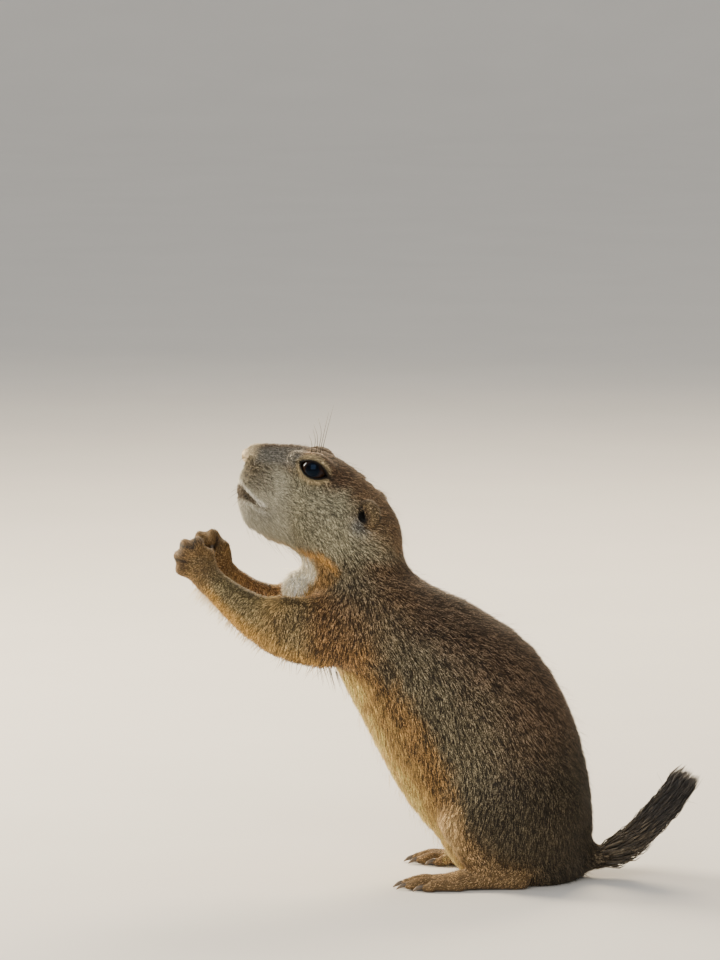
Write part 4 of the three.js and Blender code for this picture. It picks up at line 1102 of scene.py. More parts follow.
        # Painted highlight: an orange patch where the light catches each brow arch.
        for s in (RIGHT, LEFT):
            coat.lay(c.brow, head * spot(p, (-116, 9 * s, 206), (9, 6, 4)) * 0.55)
        coat.lay(c.pad, spot(p, (-137.5, 0, 195), (7.5, 14, 7)) * ease(1.5, 3.5, side) * 0.95)
        upper = np.interp(x, [-144.5, -143, -139.8, -136.7, -133.8], [188.6, 187.3, 183.9, 180.9, 178.8])
        lower = np.interp(x, [-143.6, -140.4, -136.7, -132.9], [181.4, 180.8, 178.3, 177.2])
        front = ease(-130.5, -134.0, x) * ease(13, 10, side)
        coat.lay(c.lip, front * bell((z - upper - 1.0) / 1.15) * 0.95)
        coat.lay(c.lip, front * bell(z - lower + 1.0) * 0.35)
        # Painted shade in the mouth's gape between the lips.
        gape_shade = ease(0.5, -0.4, z - upper) * ease(-0.5, 0.4, z - lower)
        coat.lay(c.mouth, front * gape_shade * 0.9)
        # Painted shade: a dark line along the mouth's closed slit.
        line = np.interp(x, *np.array(MOUTH).T)
        coat.lay(c.dark, front * bell((z - line) / 0.85))
        top = ease(-112, -118, x) * ease(-140, -136, x)
        coat.lay(c.chin, head * top * ease(196, 201, z) * 0.8)
        coat.lay(c.crown, head * top * ease(5, 2, side) * ease(203, 206, z) * 0.8)
        # Painted light: the pale cream top of the nose, where the sun falls on it.
        coat.lay(c.sunlit_bridge, ease(-132, -138.5, x + 0.5 * side) * ease(198.5, 202, z - 0.25 * (x + 140)))
        # Painted shade: a dark line along the slit of each nostril.
        slit = (z - 199.5 - 0.54 * (x + 143.4)) / 0.6
        coat.lay(c.dark, bell(slit) * ease(-138.6, -139.6, x) * ease(1.0, 1.8, side) * 0.9)
        coat.lay(c.dark, self.spots(p))
        for s in SIDES:
            edge, out = almond(p, s)
            facing = ease(0.5, 2.5, out)
            ring = ease(0.4, 0.7, edge) * ease(2.2, 1.2, edge) * facing
            coat.lay(c.eye_ring, ring * 0.85)
            coat.lay(c.dark, ease(0.6, 0.35, edge) * facing)
            at = mirrored(EYE["at"], s)
            corner = spot(p, (at[0] - 7.4, at[1], at[2] + 3.7), (2.2, 6, 0.9))
            corner += spot(p, (at[0] + 7.2, at[1], at[2] - 3.8), (1.9, 6, 0.9))
            coat.lay(c.dark, corner)
            ear = Ear(s)
            gap = ear.gap(p)
            coat.lay(c.ear, ease(2.5, 0.3, gap))
            q = ear.local(p)
            # Painted shade inside the cup of the ear flap, under its rim.
            cup = np.linalg.norm((q - np.array([-1.4, s * 4.4, -0.4])) / np.array([4.6, 3.0, 5.1]), axis=1)
            coat.lay(c.mouth, ease(1.2, 0.3, gap) * ease(1.12, 1.0, cup) * 0.6)
            rim = ease(1.2, 0.3, gap) * ease(0.80, 0.98, np.linalg.norm(q / np.array(ear.half), axis=1))
            coat.lay(c.ear_rim, rim * ease(0.5, 2.5, q[:, 0]) * ease(0.4, 1.4, q[:, 1] * s) * 0.85)
            # Painted shadow: a dark line round the ear flap, on the skin just behind it.
            ear_shadow_line = ease(0.3, 0.9, gap) * ease(2.6, 1.5, gap) * ease(-1.5, 1.5, q[:, 0])
            coat.lay(c.dark, ear_shadow_line * 0.75)
            tuft = spot(q, (-6.5, 0, -2.5), (3.2, 9, 4.5))
            coat.lay(c.ear_tuft, tuft * 0.8)
            # Painted shade: the ear's opening laid near black.
            coat.lay(c.ear_inside, ease(1.0, 0.15, ear.hole(p)))
        grain = grain * (1 - head) + head * (0.85 - 0.40 * ease(-115, -130, x))
        grain = np.maximum(grain, spot(p, (-137.5, 0, 195), (7, 14, 6.5)))
        return coat.base, grain

    def spots(self, p: Array) -> Array:
        """The dark spots in rows on the whisker pads, one at the root of each whisker."""
        out = np.zeros(len(p))
        near = (p[:, 0] < -124) & (p[:, 2] > 182) & (p[:, 2] < 204)
        q = p[near]
        value = np.zeros(len(q))
        for x, z, _, _ in pad_rows():
            value = np.maximum(value, np.exp(-(((q[:, 0] - x) ** 2 + (q[:, 2] - z) ** 2) / 0.52**2)))
        out[near] = value * ease(1.5, 3.0, np.abs(q[:, 1]))
        return out


class Graph:
    """A material and its node tree, with short ways to add and join nodes."""

    def __init__(self, name: str) -> None:
        """Starts a material that holds its shader, its output and the piece's own coordinates."""
        self.material = bpy.data.materials.new(name)
        self.material.use_nodes = True
        self.tree = self.material.node_tree
        self.shader = self.tree.nodes["Principled BSDF"]
        self.where = self.node("ShaderNodeTexCoord")

    def node(self, kind: str, inputs: dict | None = None, **settings: object) -> bpy.types.Node:
        """Adds a node, sets its own settings, then its sockets by name."""
        node = self.tree.nodes.new(kind)
        for key, value in settings.items():
            setattr(node, key, value)
        for key, value in (inputs or {}).items():
            node.inputs[key].default_value = value
        return node

    def link(self, source: bpy.types.Node, out: str | int, target: bpy.types.Node, into: str | int) -> None:
        """Joins one node's output to another's input."""
        self.tree.links.new(source.outputs[out], target.inputs[into])

    def stored(self, name: str) -> bpy.types.Node:
        """Reads what a piece stores for each point under a name."""
        return self.node("ShaderNodeAttribute", attribute_name=name)

    def texture(self, scale: float, kind: str = "Noise", **inputs: float) -> bpy.types.Node:
        """Noise or cells in the piece's own coordinates."""
        node = self.node(f"ShaderNodeTex{kind}", inputs={"Scale": scale, **inputs})
        self.link(self.where, "Object", node, "Vector")
        return node

    def spread(self, source: bpy.types.Node, out: str, **ends: float) -> bpy.types.Node:
        """Maps a value from one range to another, each end named with a low line for its space."""
        named = {key.replace("_", " "): end for key, end in ends.items()}
        node = self.node("ShaderNodeMapRange", inputs=named)
        self.link(source, out, node, "Value")
        return node

    def stops(self, source: bpy.types.Node, out: str, *marks: tuple) -> bpy.types.Node:
        """Colours by a value, from marks of a place and a colour: the first, the last, then any between."""
        node = self.node("ShaderNodeValToRGB")
        elements = node.color_ramp.elements
        for number, (place, colour) in enumerate(marks):
            element = elements[number] if number < 2 else elements.new(place)
            element.position, element.color = place, (*colour, 1)
        self.link(source, out, node, "Fac")
        return node

    def shade(self, colour: bpy.types.Node, level: bpy.types.Node, out: str) -> None:
        """Makes a colour times a level the base colour."""
        mix = self.node("ShaderNodeVectorMath", operation="SCALE")
        self.link(colour, "Color", mix, 0)
        self.link(level, out, mix, "Scale")
        self.link(mix, "Vector", self.shader, "Base Color")

    def bump(self, source: bpy.types.Node, out: str, strength: float, distance: float) -> None:
        """Raises the surface by a value."""
        node = self.node("ShaderNodeBump", inputs={"Strength": strength, "Distance": distance})
        self.link(source, out, node, "Height")
        self.link(node, "Normal", self.shader, "Normal")

    def done(self, roughness: float, **values: object) -> bpy.types.Material:
        """Sets constants on the shader, each named with a low line for its space, and gives the material."""
        for key, value in {"Roughness": roughness, **values}.items():
            self.shader.inputs[key.replace("_", " ")].default_value = value
        return self.material


@dataclass(frozen=True)
class Pelt:
    """The finish of hair: soft, with a little gloss along it and a faint sheen from behind."""

    name: str
    roughness: float = 0.58
    sheen: float = 0.06
    gloss: float = 0.22
    streak: float = 1500.0

    def make(self) -> bpy.types.Material:
        """Colour from the piece's own Tint, broken by fine noise that also raises a slight bump."""
        g = Graph(self.name)
        noise = g.texture(self.streak, Detail=1.0, Roughness=0.5)
        shade = g.spread(noise, "Fac", From_Min=0.37, From_Max=0.63, To_Min=-0.8, To_Max=1.3)
        level = g.node("ShaderNodeMath", operation="MULTIPLY_ADD", inputs={2: 0.9})
        g.link(shade, "Result", level, 0)
        g.link(g.stored("Speck"), "Fac", level, 1)
        g.shade(g.stored("Tint"), level, "Value")
        g.bump(noise, "Fac", 0.35, 0.0003)
        return g.done(self.roughness, Sheen_Weight=self.sheen, Sheen_Roughness=0.45,
                      Specular_IOR_Level=self.gloss)


@dataclass(frozen=True)
class Hide:
    """The skin under the coat: the coat's colours in shade, with a bump of short lying hair."""

    name: str = "Hide"

    def make(self) -> bpy.types.Material:
        """Colour from Tint, with two sizes of noise for clumps and single hairs."""
        g = Graph(self.name)
        blend = g.node("ShaderNodeMath", operation="ADD")
        g.link(g.texture(1400.0, Detail=3.0, Roughness=0.7), "Fac", blend, 0)
        g.link(g.texture(260.0, Detail=2.0), "Fac", blend, 1)
        shade = g.spread(blend, "Value", From_Min=0.6, From_Max=1.4, To_Min=0.6, To_Max=1.25)
        g.shade(g.stored("Tint"), shade, "Result")
        g.bump(blend, "Value", 0.7, 0.0006)
        return g.done(0.75, Sheen_Weight=0.05, Sheen_Roughness=0.5, Specular_IOR_Level=0.2)


@dataclass(frozen=True)
class Wet:
    """The eye: a dark brown ball under a clear, wet front."""

    name: str = "Eye_wet"

    def make(self) -> bpy.types.Material:
        """Brown round a black pupil, by the point's own Run from the front of the eye."""
        g = Graph(self.name)
        pupil, rim, brown = (0.002, 0.0018, 0.002), (0.010, 0.006, 0.004), (0.020, 0.010, 0.005)
        stops = g.stops(g.stored("Run"), "Fac", (0.30, pupil), (0.95, rim), (0.44, brown))
        shade = g.spread(g.texture(900.0, Detail=3.0), "Fac", To_Min=0.6, To_Max=1.4)
        g.shade(stops, shade, "Result")
        # Painted reflection: the blue specular tint stands in for a blue sky seen in the eye.
        return g.done(0.04, Specular_IOR_Level=0.16, Specular_Tint=(0.25, 0.5, 1.0, 1))


@dataclass(frozen=True)
class Leather:
    """Bare skin of the nose and lids: fine pebbles in it, and a slight moist shine."""

    name: str
    colour: tuple
    pebbles: float = 1500.0
    roughness: float = 0.42
    depth: float = 0.0004
    shine: float = 0.5

    def make(self) -> bpy.types.Material:
        """Cells for the pebbles, with noise that takes the colour a little up and down."""
        g = Graph(self.name)
        low, high = ([c * k for c in self.colour] for k in (0.6, 1.5))
        stops = g.stops(g.texture(self.pebbles * 0.3, Detail=3.0), "Fac", (0.3, low), (0.75, high))
        g.link(stops, "Color", g.shader, "Base Color")
        g.bump(g.texture(self.pebbles, "Voronoi"), "Distance", 0.6, self.depth)
        return g.done(self.roughness, Specular_IOR_Level=self.shine)


@dataclass(frozen=True)
class Horn:
    """Claws and stiff hairs: dark at the root, paler along the ridge and to the tip."""

    name: str
    root: tuple = (0.02, 0.014, 0.01)
    tip: tuple = (0.14, 0.1, 0.065)
    roughness: float = 0.34

    def make(self) -> bpy.types.Material:
        """A ramp from root to tip along the point's own Run, streaked by fine noise."""
        g = Graph(self.name)
        noise = g.texture(1200.0, Detail=2.0)
        shift = g.node("ShaderNodeMath", operation="MULTIPLY_ADD", inputs={1: 0.25})
        g.link(noise, "Fac", shift, 0)
        g.link(g.stored("Run"), "Fac", shift, 2)
        stops = g.stops(shift, "Value", (0.15, self.root), (1.0, self.tip))
        g.link(stops, "Color", g.shader, "Base Color")
        g.bump(noise, "Fac", 0.3, 0.0002)
        return g.done(self.roughness, Specular_IOR_Level=0.5)


@dataclass(frozen=True)
class Plaster:
    """The pale floor."""

    name: str = "Pale_floor"

    def make(self) -> bpy.types.Material:
        """Nearly white, with a broad and slight unevenness."""
        g = Graph(self.name)
        marks = (0.0, (0.70, 0.69, 0.67)), (1.0, (0.76, 0.75, 0.73))
        stops = g.stops(g.texture(9.0, Detail=4.0), "Fac", *marks)
        g.link(stops, "Color", g.shader, "Base Color")
        return g.done(0.8)


# The pieces


@dataclass
class Skin:
    """The one skin of the body, from the nose to the last joint of the tail."""

    flesh: Flesh
    markings: Markings
    nodes: tuple
    points: Array = field(init=False)
    normals: Array = field(init=False)
    faces: Array = field(init=False)

    def grid(self) -> Net:
        """Fine lines at the head, eyes, hands and feet, and coarser ones along the trunk."""
        x = [(-178, 0.8), (-145, 0.7), (-120, 0.6), (-98, 0.75), (-72, 1.8), (-64, 1.2), (-36, 2.2), (72, 0)]
        y = [(-52, 1.3), (-28, 0.9), (-21, 0.65), (-9, 0.9), (9, 0.65), (21, 0.9), (28, 1.3), (52, 0)]
        z = [(-1, 0.9), (12, 2.1), (130, 0.9), (178, 0.75), (190, 0.6), (204, 0.75), (212, 0)]
        return Net((ramp(x), ramp(y), ramp(z)))

    def build(self) -> bpy.types.Object:
        """Nets the field, keeps its one closed surface and draws the points onto the field's zero surface."""
        points, quads = closed(*self.grid().build(self.flesh.gap))
        value, slope = self.flesh.slope(points)
        step = np.clip(value / np.maximum((slope**2).sum(1), 0.2), -0.5, 0.5)
        points = points - step[:, None] * slope * 0.9
        self.points, self.normals = points, unit(self.flesh.slope(points, 0.25)[1])
        self.faces = quads
        piece = mesh_object("skin", points, quads)
        survey = self.flesh.survey(points, self.normals)
        base, _ = self.markings.colours(points, survey)
        # Painted shade: the skin under the coat is darker than the coat, the more so where the coat is deep.
        deep = ease(0.4, 2.2, survey.coat)[:, None]
        paint(piece, "Tint", base * (0.62 - 0.27 * deep))
        piece.data.materials.append(Hide().make())
        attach(piece, "root")
        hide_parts(*self.nodes)
        return piece

    def triangles(self) -> Array:
        """Each four-sided face as two triangles."""
        return np.vstack([self.faces[:, [0, 1, 2]], self.faces[:, [0, 2, 3]]])


class Region(Enum):
    """The coat's pieces, each with the name its meshes take."""

    HEAD = "coat_head"
    BACK = "coat_back"
    SIDE = "coat_side"
    LIMB = "coat_limb"
    TAIL = "coat_tail"


@dataclass
class Roots:
    """Where each tuft grows and what it is like."""

    at: Array
    out: Array
    lie: Array
    coat: Array
    hair: Array
    base: Array
    grain: Array
    place: Array
    region: Array

    def take(self, keep: Array) -> "Roots":
        """The tufts that a mask or an index list picks."""
        return Roots(*[getattr(self, name)[keep] for name in self.__dataclass_fields__])


@dataclass
class Coat:
    """Short tufts over the skin, lying along the coat.

    A tuft is a closed three-sided blade that is widest before its middle: a root point under the skin, one
    ring of three points and a tip. It leaves the skin at a low angle and bends over at the ring.
    """

    skin: Skin
    flesh: Flesh
    markings: Markings
    tufts: int = 240000
    most: int = 32500
    ring: float = 0.42
    rng: np.random.Generator = field(default_factory=lambda: np.random.default_rng(SEED))

    def density(self, points: Array) -> Array:
        """How closely the tufts stand at each place, with none on the eyes, the nose and the soles."""
        x, y, z = points.T
        head = spot(points, (-116, 0, 184), (34, 60, 32)) + spot(points, (-150, 0, 145), (26, 60, 26))
        want = 1.15 + 2.6 * np.clip(head, 0, 1)
        want += 0.7 * spot(points, (18, 0, 12), (40, 30, 30)) + 0.6 * ease(40, 10, z)
        for side in SIDES:
            edge, out = almond(points, side)
            want = np.where((edge < 0.75) & (out > 0.3), 0, want)
        nose = np.linalg.norm((points - np.array([-142.4, 0, 200.9])) / np.array([3.2, 4.0, 3.9]), axis=1)
        want = want * ease(0.85, 1.0, nose)
        line = np.interp(x, *np.array(MOUTH).T)
        slit = (np.abs(z - line) < 0.9) & (x < -133) & (np.abs(y) < 11)
        want = np.where(slit, 0, want)
        for side in SIDES:
            want = np.where(Ear(side).hole(points) < 0.35, 0, want)
        return np.where(z < 1.4, 0, want)

    def sow(self) -> Roots:
        """Scatters the roots over the skin, by area and by how closely they stand there."""
        tri = self.skin.triangles()
        p = self.skin.points[tri]
        area = np.linalg.norm(np.cross(p[:, 1] - p[:, 0], p[:, 2] - p[:, 0]), axis=1) / 2
        weight = np.cumsum(area * self.density(p.mean(1)))
        pick = np.searchsorted(weight, self.rng.random(self.tufts) * weight[-1])
        u, v = self.rng.random(self.tufts), self.rng.random(self.tufts)
        over = u + v > 1
        u[over], v[over] = 1 - u[over], 1 - v[over]
        share = np.column_stack([1 - u - v, u, v])
        at = np.einsum("ij,ijk->ik", share, p[pick])
        out = unit(np.einsum("ij,ijk->ik", share, self.skin.normals[tri[pick]]))
        survey = self.flesh.survey(at, out)
        base, grain = self.markings.colours(at, survey)
        region = self.regions(at, survey)
        roots = Roots(at, out, self.comb(at, out, survey), survey.coat, survey.hair, base, grain,
                      self.flesh.unwrap(at), region)
        self.trim(roots)
        return roots

    def regions(self, at: Array, survey: Survey) -> Array:
        """The piece that each tuft belongs to, by the zone that is strongest there."""
        names = list(survey.share)
        strongest = np.argmax(np.column_stack([survey.share[z] for z in names]), 1)
        order = list(Region)
        of = {Zone.HEAD: Region.HEAD, Zone.TAIL: Region.TAIL, Zone.TRUNK: Region.SIDE}
        table = np.array([order.index(of.get(zone, Region.LIMB)) for zone in names])
        region = table[strongest]
        back = (region == order.index(Region.SIDE)) & (survey.rise[Zone.TRUNK, 0] > 0.35)
        region[back] = order.index(Region.BACK)
        return region

    def comb(self, at: Array, out: Array, survey: Survey) -> Array:
        """The lie with its waves: turned a little by a smooth field, and away from eye, ear and elbow."""
        lie = survey.lie.copy()
        for side in SIDES:
            eye = mirrored(EYE["at"], side)
            away = at - eye
            lie += unit(away) * (1.5 * np.exp(-((np.linalg.norm(away, axis=1) / 11.5) ** 4)))[:, None]
            ear = at - mirrored(Ear(side).at, side)
            round_ear = np.column_stack([-ear[:, 2], np.zeros(len(at)), ear[:, 0]]) / 10
            near = np.exp(-((np.linalg.norm(ear, axis=1) / 19) ** 4)) * ease(5, -3, ear[:, 2])
            near = near * (at[:, 1] * side > 4)
            lie += unit(round_ear) * (1.7 * near * ease(9, 2, ear[:, 0]))[:, None]
            crease = at - np.array([-124, 26 * side, 132])
            lie += unit(crease) * (0.8 * bell(np.linalg.norm(crease, axis=1) / 12))[:, None]
        lie = unit(lie - (lie * out).sum(1, keepdims=True) * out)
        across = np.cross(out, lie)
        turn = 0.10 * mottle(at, 8.0, 1.0) + 0.05 * mottle(at, 2.4, 5.0) + self.rng.normal(0, 0.16, len(at))
        return lie * np.cos(turn)[:, None] + across * np.sin(turn)[:, None]

    def trim(self, r: Roots) -> None:
        """Sets lengths that no zone gives: fringes of arm, breast, chin and knee, the ears and the lids."""
        x, y, z = r.at.T
        side = np.abs(y)
        arm = ease(-112, -124, x) * ease(-167, -160, x) * ease(-0.1, -0.6, r.out[:, 2])
        arm = arm * ease(112, 118, z + 0.7 * (x + 125))
        pit = spot(r.at, (-104, 24, 104), (13, 14, 9)) + spot(r.at, (-104, -24, 104), (13, 14, 9))
        head = ease(-76, -88, x) * ease(150, 160, z) * ease(-136, -126, x)
        r.hair *= (0.76 + 0.9 * (1 - r.grain)) * (1 - head) + 1.25 * head
        breast = spot(r.at, (-112, 0, 142), (13, 13, 14))
        jaw = spot(r.at, (-124, 0, 163), (13, 9, 6)) * ease(0.0, -0.5, r.out[:, 2])
        knee = spot(r.at, (-40, 0, 36), (7, 60, 8)) * ease(20, 28, side)
        r.hair *= 1 + 1.0 * arm + 0.8 * pit + 0.75 * breast + 0.8 * jaw + 0.5 * knee
        r.coat = r.coat * (1 + 0.5 * pit + 0.75 * breast + 0.8 * jaw + 0.3 * knee) + 1.1 * arm
        for side in SIDES:
            ear = Ear(side)
            gap = ear.gap(r.at)
            near = gap < 1.2
            q = ear.local(r.at[near])
            inner = (q[:, 1] * side > 0.0) & (q[:, 0] > -4.0)
            r.hair[near] = np.where(inner, 1.5, 2.4)
            r.coat[near] = np.where(inner, 0.35, 0.7)
            front = spot(ear.local(r.at), (-7.5, side * 1.0, -1.5), (3.0, 5, 4.5))
            r.hair *= 1 - 0.25 * front
            eye = mirrored(EYE["at"], side)
            far = np.linalg.norm(r.at - eye, axis=1)
            close = ease(13, 9, far)
            r.hair *= 1 - 0.45 * close
            r.coat *= 1 - 0.35 * close

    def blades(self, r: Roots) -> tuple:
        """Points, triangles, colours, map places and outward directions of a set of tufts.

        Args:
            r: the tufts.
        Returns:
            Points (five a tuft), triangles (six a tuft), the points' colours and directions, and map places.
        """
        n = len(r.at)
        draw = self.rng.random((n, 6))
        long = (r.hair * (0.70 + 0.5 * draw[:, 0]))[:, None]
        room = ease(42, 34, np.abs(r.at[:, 1])) * ease(24, 12, r.at[:, 0])
        stray = 1 + ((draw[:, 3] > 0.982) * room)[:, None]
        long = long * stray
        lift = r.coat * (0.70 + 0.50 * draw[:, 1]) * stray[:, 0] ** 1.5
        lift = np.clip(lift[:, None] / long, 0.04, 0.9)
        wide = ((0.085 + 0.019 * r.hair) * (0.65 + 0.7 * draw[:, 2]))[:, None] / stray
        across = np.cross(r.out, r.lie)
        level = np.sqrt(np.maximum(1 - lift**2, 0.2))
        foot = r.at - r.out * 0.4 - r.lie * 0.3
        middle = r.at + long * (self.ring * level * r.lie + 0.60 * lift * r.out)
        tip = r.at + long * (level * r.lie + lift * r.out + (draw[:, 4:5] - 0.5) * 0.2 * across)
        ring = [middle - across * wide, middle + across * wide, middle + r.out * wide * 0.5]
        points = np.stack([foot, *ring, tip], 1)
        points[:, :, 2] = np.maximum(points[:, :, 2], 0.25)
        one = np.array([[0, 2, 1], [0, 3, 2], [0, 1, 3], [1, 2, 4], [2, 3, 4], [3, 1, 4]])
        faces = copies(one, n)
        shape = np.stack([r.out, r.out - 0.5 * across, r.out + 0.5 * across, r.out, r.out + 0.25 * r.lie], 1)
        colours = self.ticking(r, draw[:, 5])
        place = r.place[:, None] + np.array([[0, -1], [-1, 0], [1, 0], [0, 0], [0, 1]]) * PATCH
        return points.reshape(-1, 3), faces, colours, unit(shape).reshape(-1, 3), place.reshape(-1, 2)

    def ticking(self, r: Roots, draw: Array) -> Array:
        """Root, ring and tip colours: dusky at the root, then the coat's own, then a pale or a dark tip."""
        p = self.markings.palette
        grain = r.grain[:, None]
        bright = ease(0.05, 0.3, r.base.mean(1))[:, None]
        dark = np.array(p.dark) + 0.2 * r.base * bright
        pale = np.minimum(r.base * (3.4 - 1.7 * bright) + 0.02, 0.95)
        clump = 0.05 * mottle(r.at, 2.6, 7.0) + 0.05 * mottle(r.at, 9.0, 2.0)
        tone = (0.72 + 0.56 * self.rng.random(len(draw)) + clump)[:, None]
        body = r.base * (1 + (tone - 1) * (0.45 + 0.75 * grain)) * (1 - 0.12 * grain)
        kind = (draw + 0.3 * clump)[:, None]
        light = ease(0.66, 0.72, kind)
        dusk = ease(0.38, 0.32, kind) * (1 - 0.6 * ease(0.45, 0.8, r.base.mean(1))[:, None])
        tip = body * (1 - 0.9 * grain * light) + 0.9 * grain * light * pale
        tip = tip * (1 - 0.9 * grain * dusk) + 0.9 * grain * dusk * dark
        ring = body * (1 - 0.7 * grain * light) + 0.7 * grain * light * pale
        ring = ring * (1 - 0.8 * grain * dusk) + 0.8 * grain * dusk * dark
        return np.stack([body * 0.45, ring, ring, ring, tip], 1).reshape(-1, 3)

    def build(self) -> None:
        """Grows the tufts of every region, in pieces small enough to keep each one's full detail."""
        roots = self.sow()
        finish = Pelt("Pelt").make()
        for number, region in enumerate(Region):
            mine = np.nonzero(roots.region == number)[0]
            mine = mine[np.argsort(roots.at[mine, 1], kind="stable")]
            parts = max(1, math.ceil(len(mine) / self.most))
            for k, chosen in enumerate(np.array_split(mine, parts)):
                label = f"{region.value}_{k + 1}"
                own = roots.take(chosen)
                points, faces, colours, directions, place = self.blades(own)
                piece = mesh_object(label, points, faces)
                paint(piece, "Tint", colours)
                speck = own.grain * (0.75 - 0.4 * ease(0.05, 0.30, own.base.mean(1)))
                note(piece, "Speck", np.repeat(speck, 5))
                lay_map(piece, faces, place)
                piece.data.normals_split_custom_set_from_vertices(directions.astype(np.float32))
                piece.data.materials.append(finish)
                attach(piece, "root")
                log.info("%s: %d tufts", label, len(chosen))


@dataclass
class Eye:
    """One eye: a ball with a slightly raised clear front, and the bare dark rim of its lids."""

    side: int
    rows: tuple = ((0.0, 5.9), (-0.30, 6.60), (-0.24, 6.88), (0.0, 7.06), (0.22, 7.10), (0.40, 7.0),
                   (0.3, 6.2))

    @property
    def label(self) -> str:
        """The side's name."""
        return NAMES[self.side]

    def ball(self) -> bpy.types.Object:
        """Rings from the front pole to the back, each at radius (1 + 0.02 e^-(angle/0.62)^4)."""
        centre, out, long, high = eye_axes(self.side)
        angle = np.linspace(0.02, np.pi - 0.02, 44)
        turn = np.linspace(0, 2 * np.pi, 56, endpoint=False)
        radius = EYE["radius"] * (1 + 0.02 * np.exp(-((angle / 0.62) ** 4)))
        rings = np.cos(turn)[None, :, None] * long + np.sin(turn)[None, :, None] * high
        rings = rings * np.sin(angle)[:, None, None] + out * np.cos(angle)[:, None, None]
        points, faces = wrap(centre + rings * radius[:, None, None])
        piece = mesh_object(f"eye_{self.label}_ball", points, faces)
        run = np.append(np.repeat(angle / (np.pi / 2), len(turn)), [0, 2])
        note(piece, "Run", run)
        piece.data.materials.append(Wet().make())
        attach(piece, "root")
        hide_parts(f"eye_{self.label}")
        return piece

    def lids(self) -> bpy.types.Object:
        """The rim: rings along the almond's edge, each moved out a little and at its own radius.

        The edge is u = long cos t, v = high |sin t|^(2 / point) with the sign of sin t. A ring's point is
        centre + u' long + v' high + sqrt(radius^2 - 0.78 u'^2 - v'^2) out, u' and v' being moved outwards.
        """
        centre, out, long, high = eye_axes(self.side)
        t = np.linspace(0, 2 * np.pi, 112, endpoint=False)
        u = OPENING["long"] * np.cos(t)
        v = OPENING["high"] * np.sign(np.sin(t)) * np.abs(np.sin(t)) ** (2 / OPENING["point"])
        normal = [u / OPENING["long"] ** 2, v / OPENING["high"] ** 2 + 1e-6 * np.sin(t)]
        normal = unit(np.column_stack(normal))
        fold = 0.05 * np.sin(11 * t) + 0.04 * np.sin(17 * t + 1)
        rings = []
        for move, radius in self.rows:
            uu, vv = u + normal[:, 0] * move, v + normal[:, 1] * move
            deep = np.sqrt(np.maximum(radius**2 - 0.78 * uu**2 - vv**2, 0.3)) + fold * max(move, 0)
            rings.append(centre + uu[:, None] * long + vv[:, None] * high + deep[:, None] * out)
        points, faces = self.collar(np.array(rings))
        piece = mesh_object(f"lids_{self.label}", points, faces)
        leather = Leather("Lid_skin", (0.004, 0.003, 0.003), 1800.0, 0.6, 0.0002, 0.12)
        piece.data.materials.append(leather.make())
        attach(piece, "root")
        return piece

    def collar(self, rings: Array) -> tuple:
        """Faces of a ring-shaped skin that closes on itself both ways round, turned outwards."""
        n, m = rings.shape[:2]
        i, j = np.meshgrid(np.arange(n), np.arange(m), indexing="ij")
        a, b = i * m + j, i * m + (j + 1) % m
        c, d = ((i + 1) % n) * m + (j + 1) % m, ((i + 1) % n) * m + j
        faces = np.stack([a, b, c, d], -1).reshape(-1, 4)
        points = rings.reshape(-1, 3)
        return points, outward(points, faces)


@dataclass
class Nose:
    """The bare pad of the nose, with its two comma-shaped nostrils and the groove between them."""

    at: tuple = (-141.2, 0, 201.2)
    half: tuple = (3.1, 3.7, 3.5)

    def gap(self, p: Array) -> Array:
        """A squarish ball, less a slanted ball for each nostril and a shallow groove down the middle."""
        d = (p - np.array(self.at)) / np.array(self.half)
        pad = ((np.abs(d) ** 2.3).sum(1) ** (1 / 2.3) - 1) * 3.2
        side = np.abs(p[:, 1])
        low = p[:, 2] - 200.4
        hole = ((p[:, 0] + 144.2) / 2.6) ** 2 + ((side - 2.0 - 0.32 * low) / 0.75) ** 2 + (low / 1.35) ** 2
        hole = np.sqrt(hole)
        pad = -melt(0.5, -pad, (hole - 1) * 0.75)
        wing = np.sqrt(((p[:, 0] + 142.8) / 2.2) ** 2 + ((side - 3.9) / 1.0) ** 2 + ((low + 0.4) / 0.8) ** 2)
        pad = -melt(0.5, -pad, (wing - 1) * 0.6)
        return pad + 0.35 * bell(p[:, 1] / 0.35) * ease(202.5, 199.5, p[:, 2])

    def build(self) -> bpy.types.Object:
        """Nets the pad on a grid of about a quarter of a millimetre."""
        lines = tuple(np.arange(c - h - 1, c + h + 1.01, 0.24) for c, h in zip(self.at, self.half))
        piece = mesh_object("nose_pad", *closed(*Net(lines).build(self.gap)))
        # The leather of the pad in a pale cream: its own colour, lightened as painted sunlight on the nose.
        piece.data.materials.append(Leather("Nose_skin", (0.600, 0.470, 0.290)).make())
        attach(piece, "root")
        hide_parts("nose")
        return piece


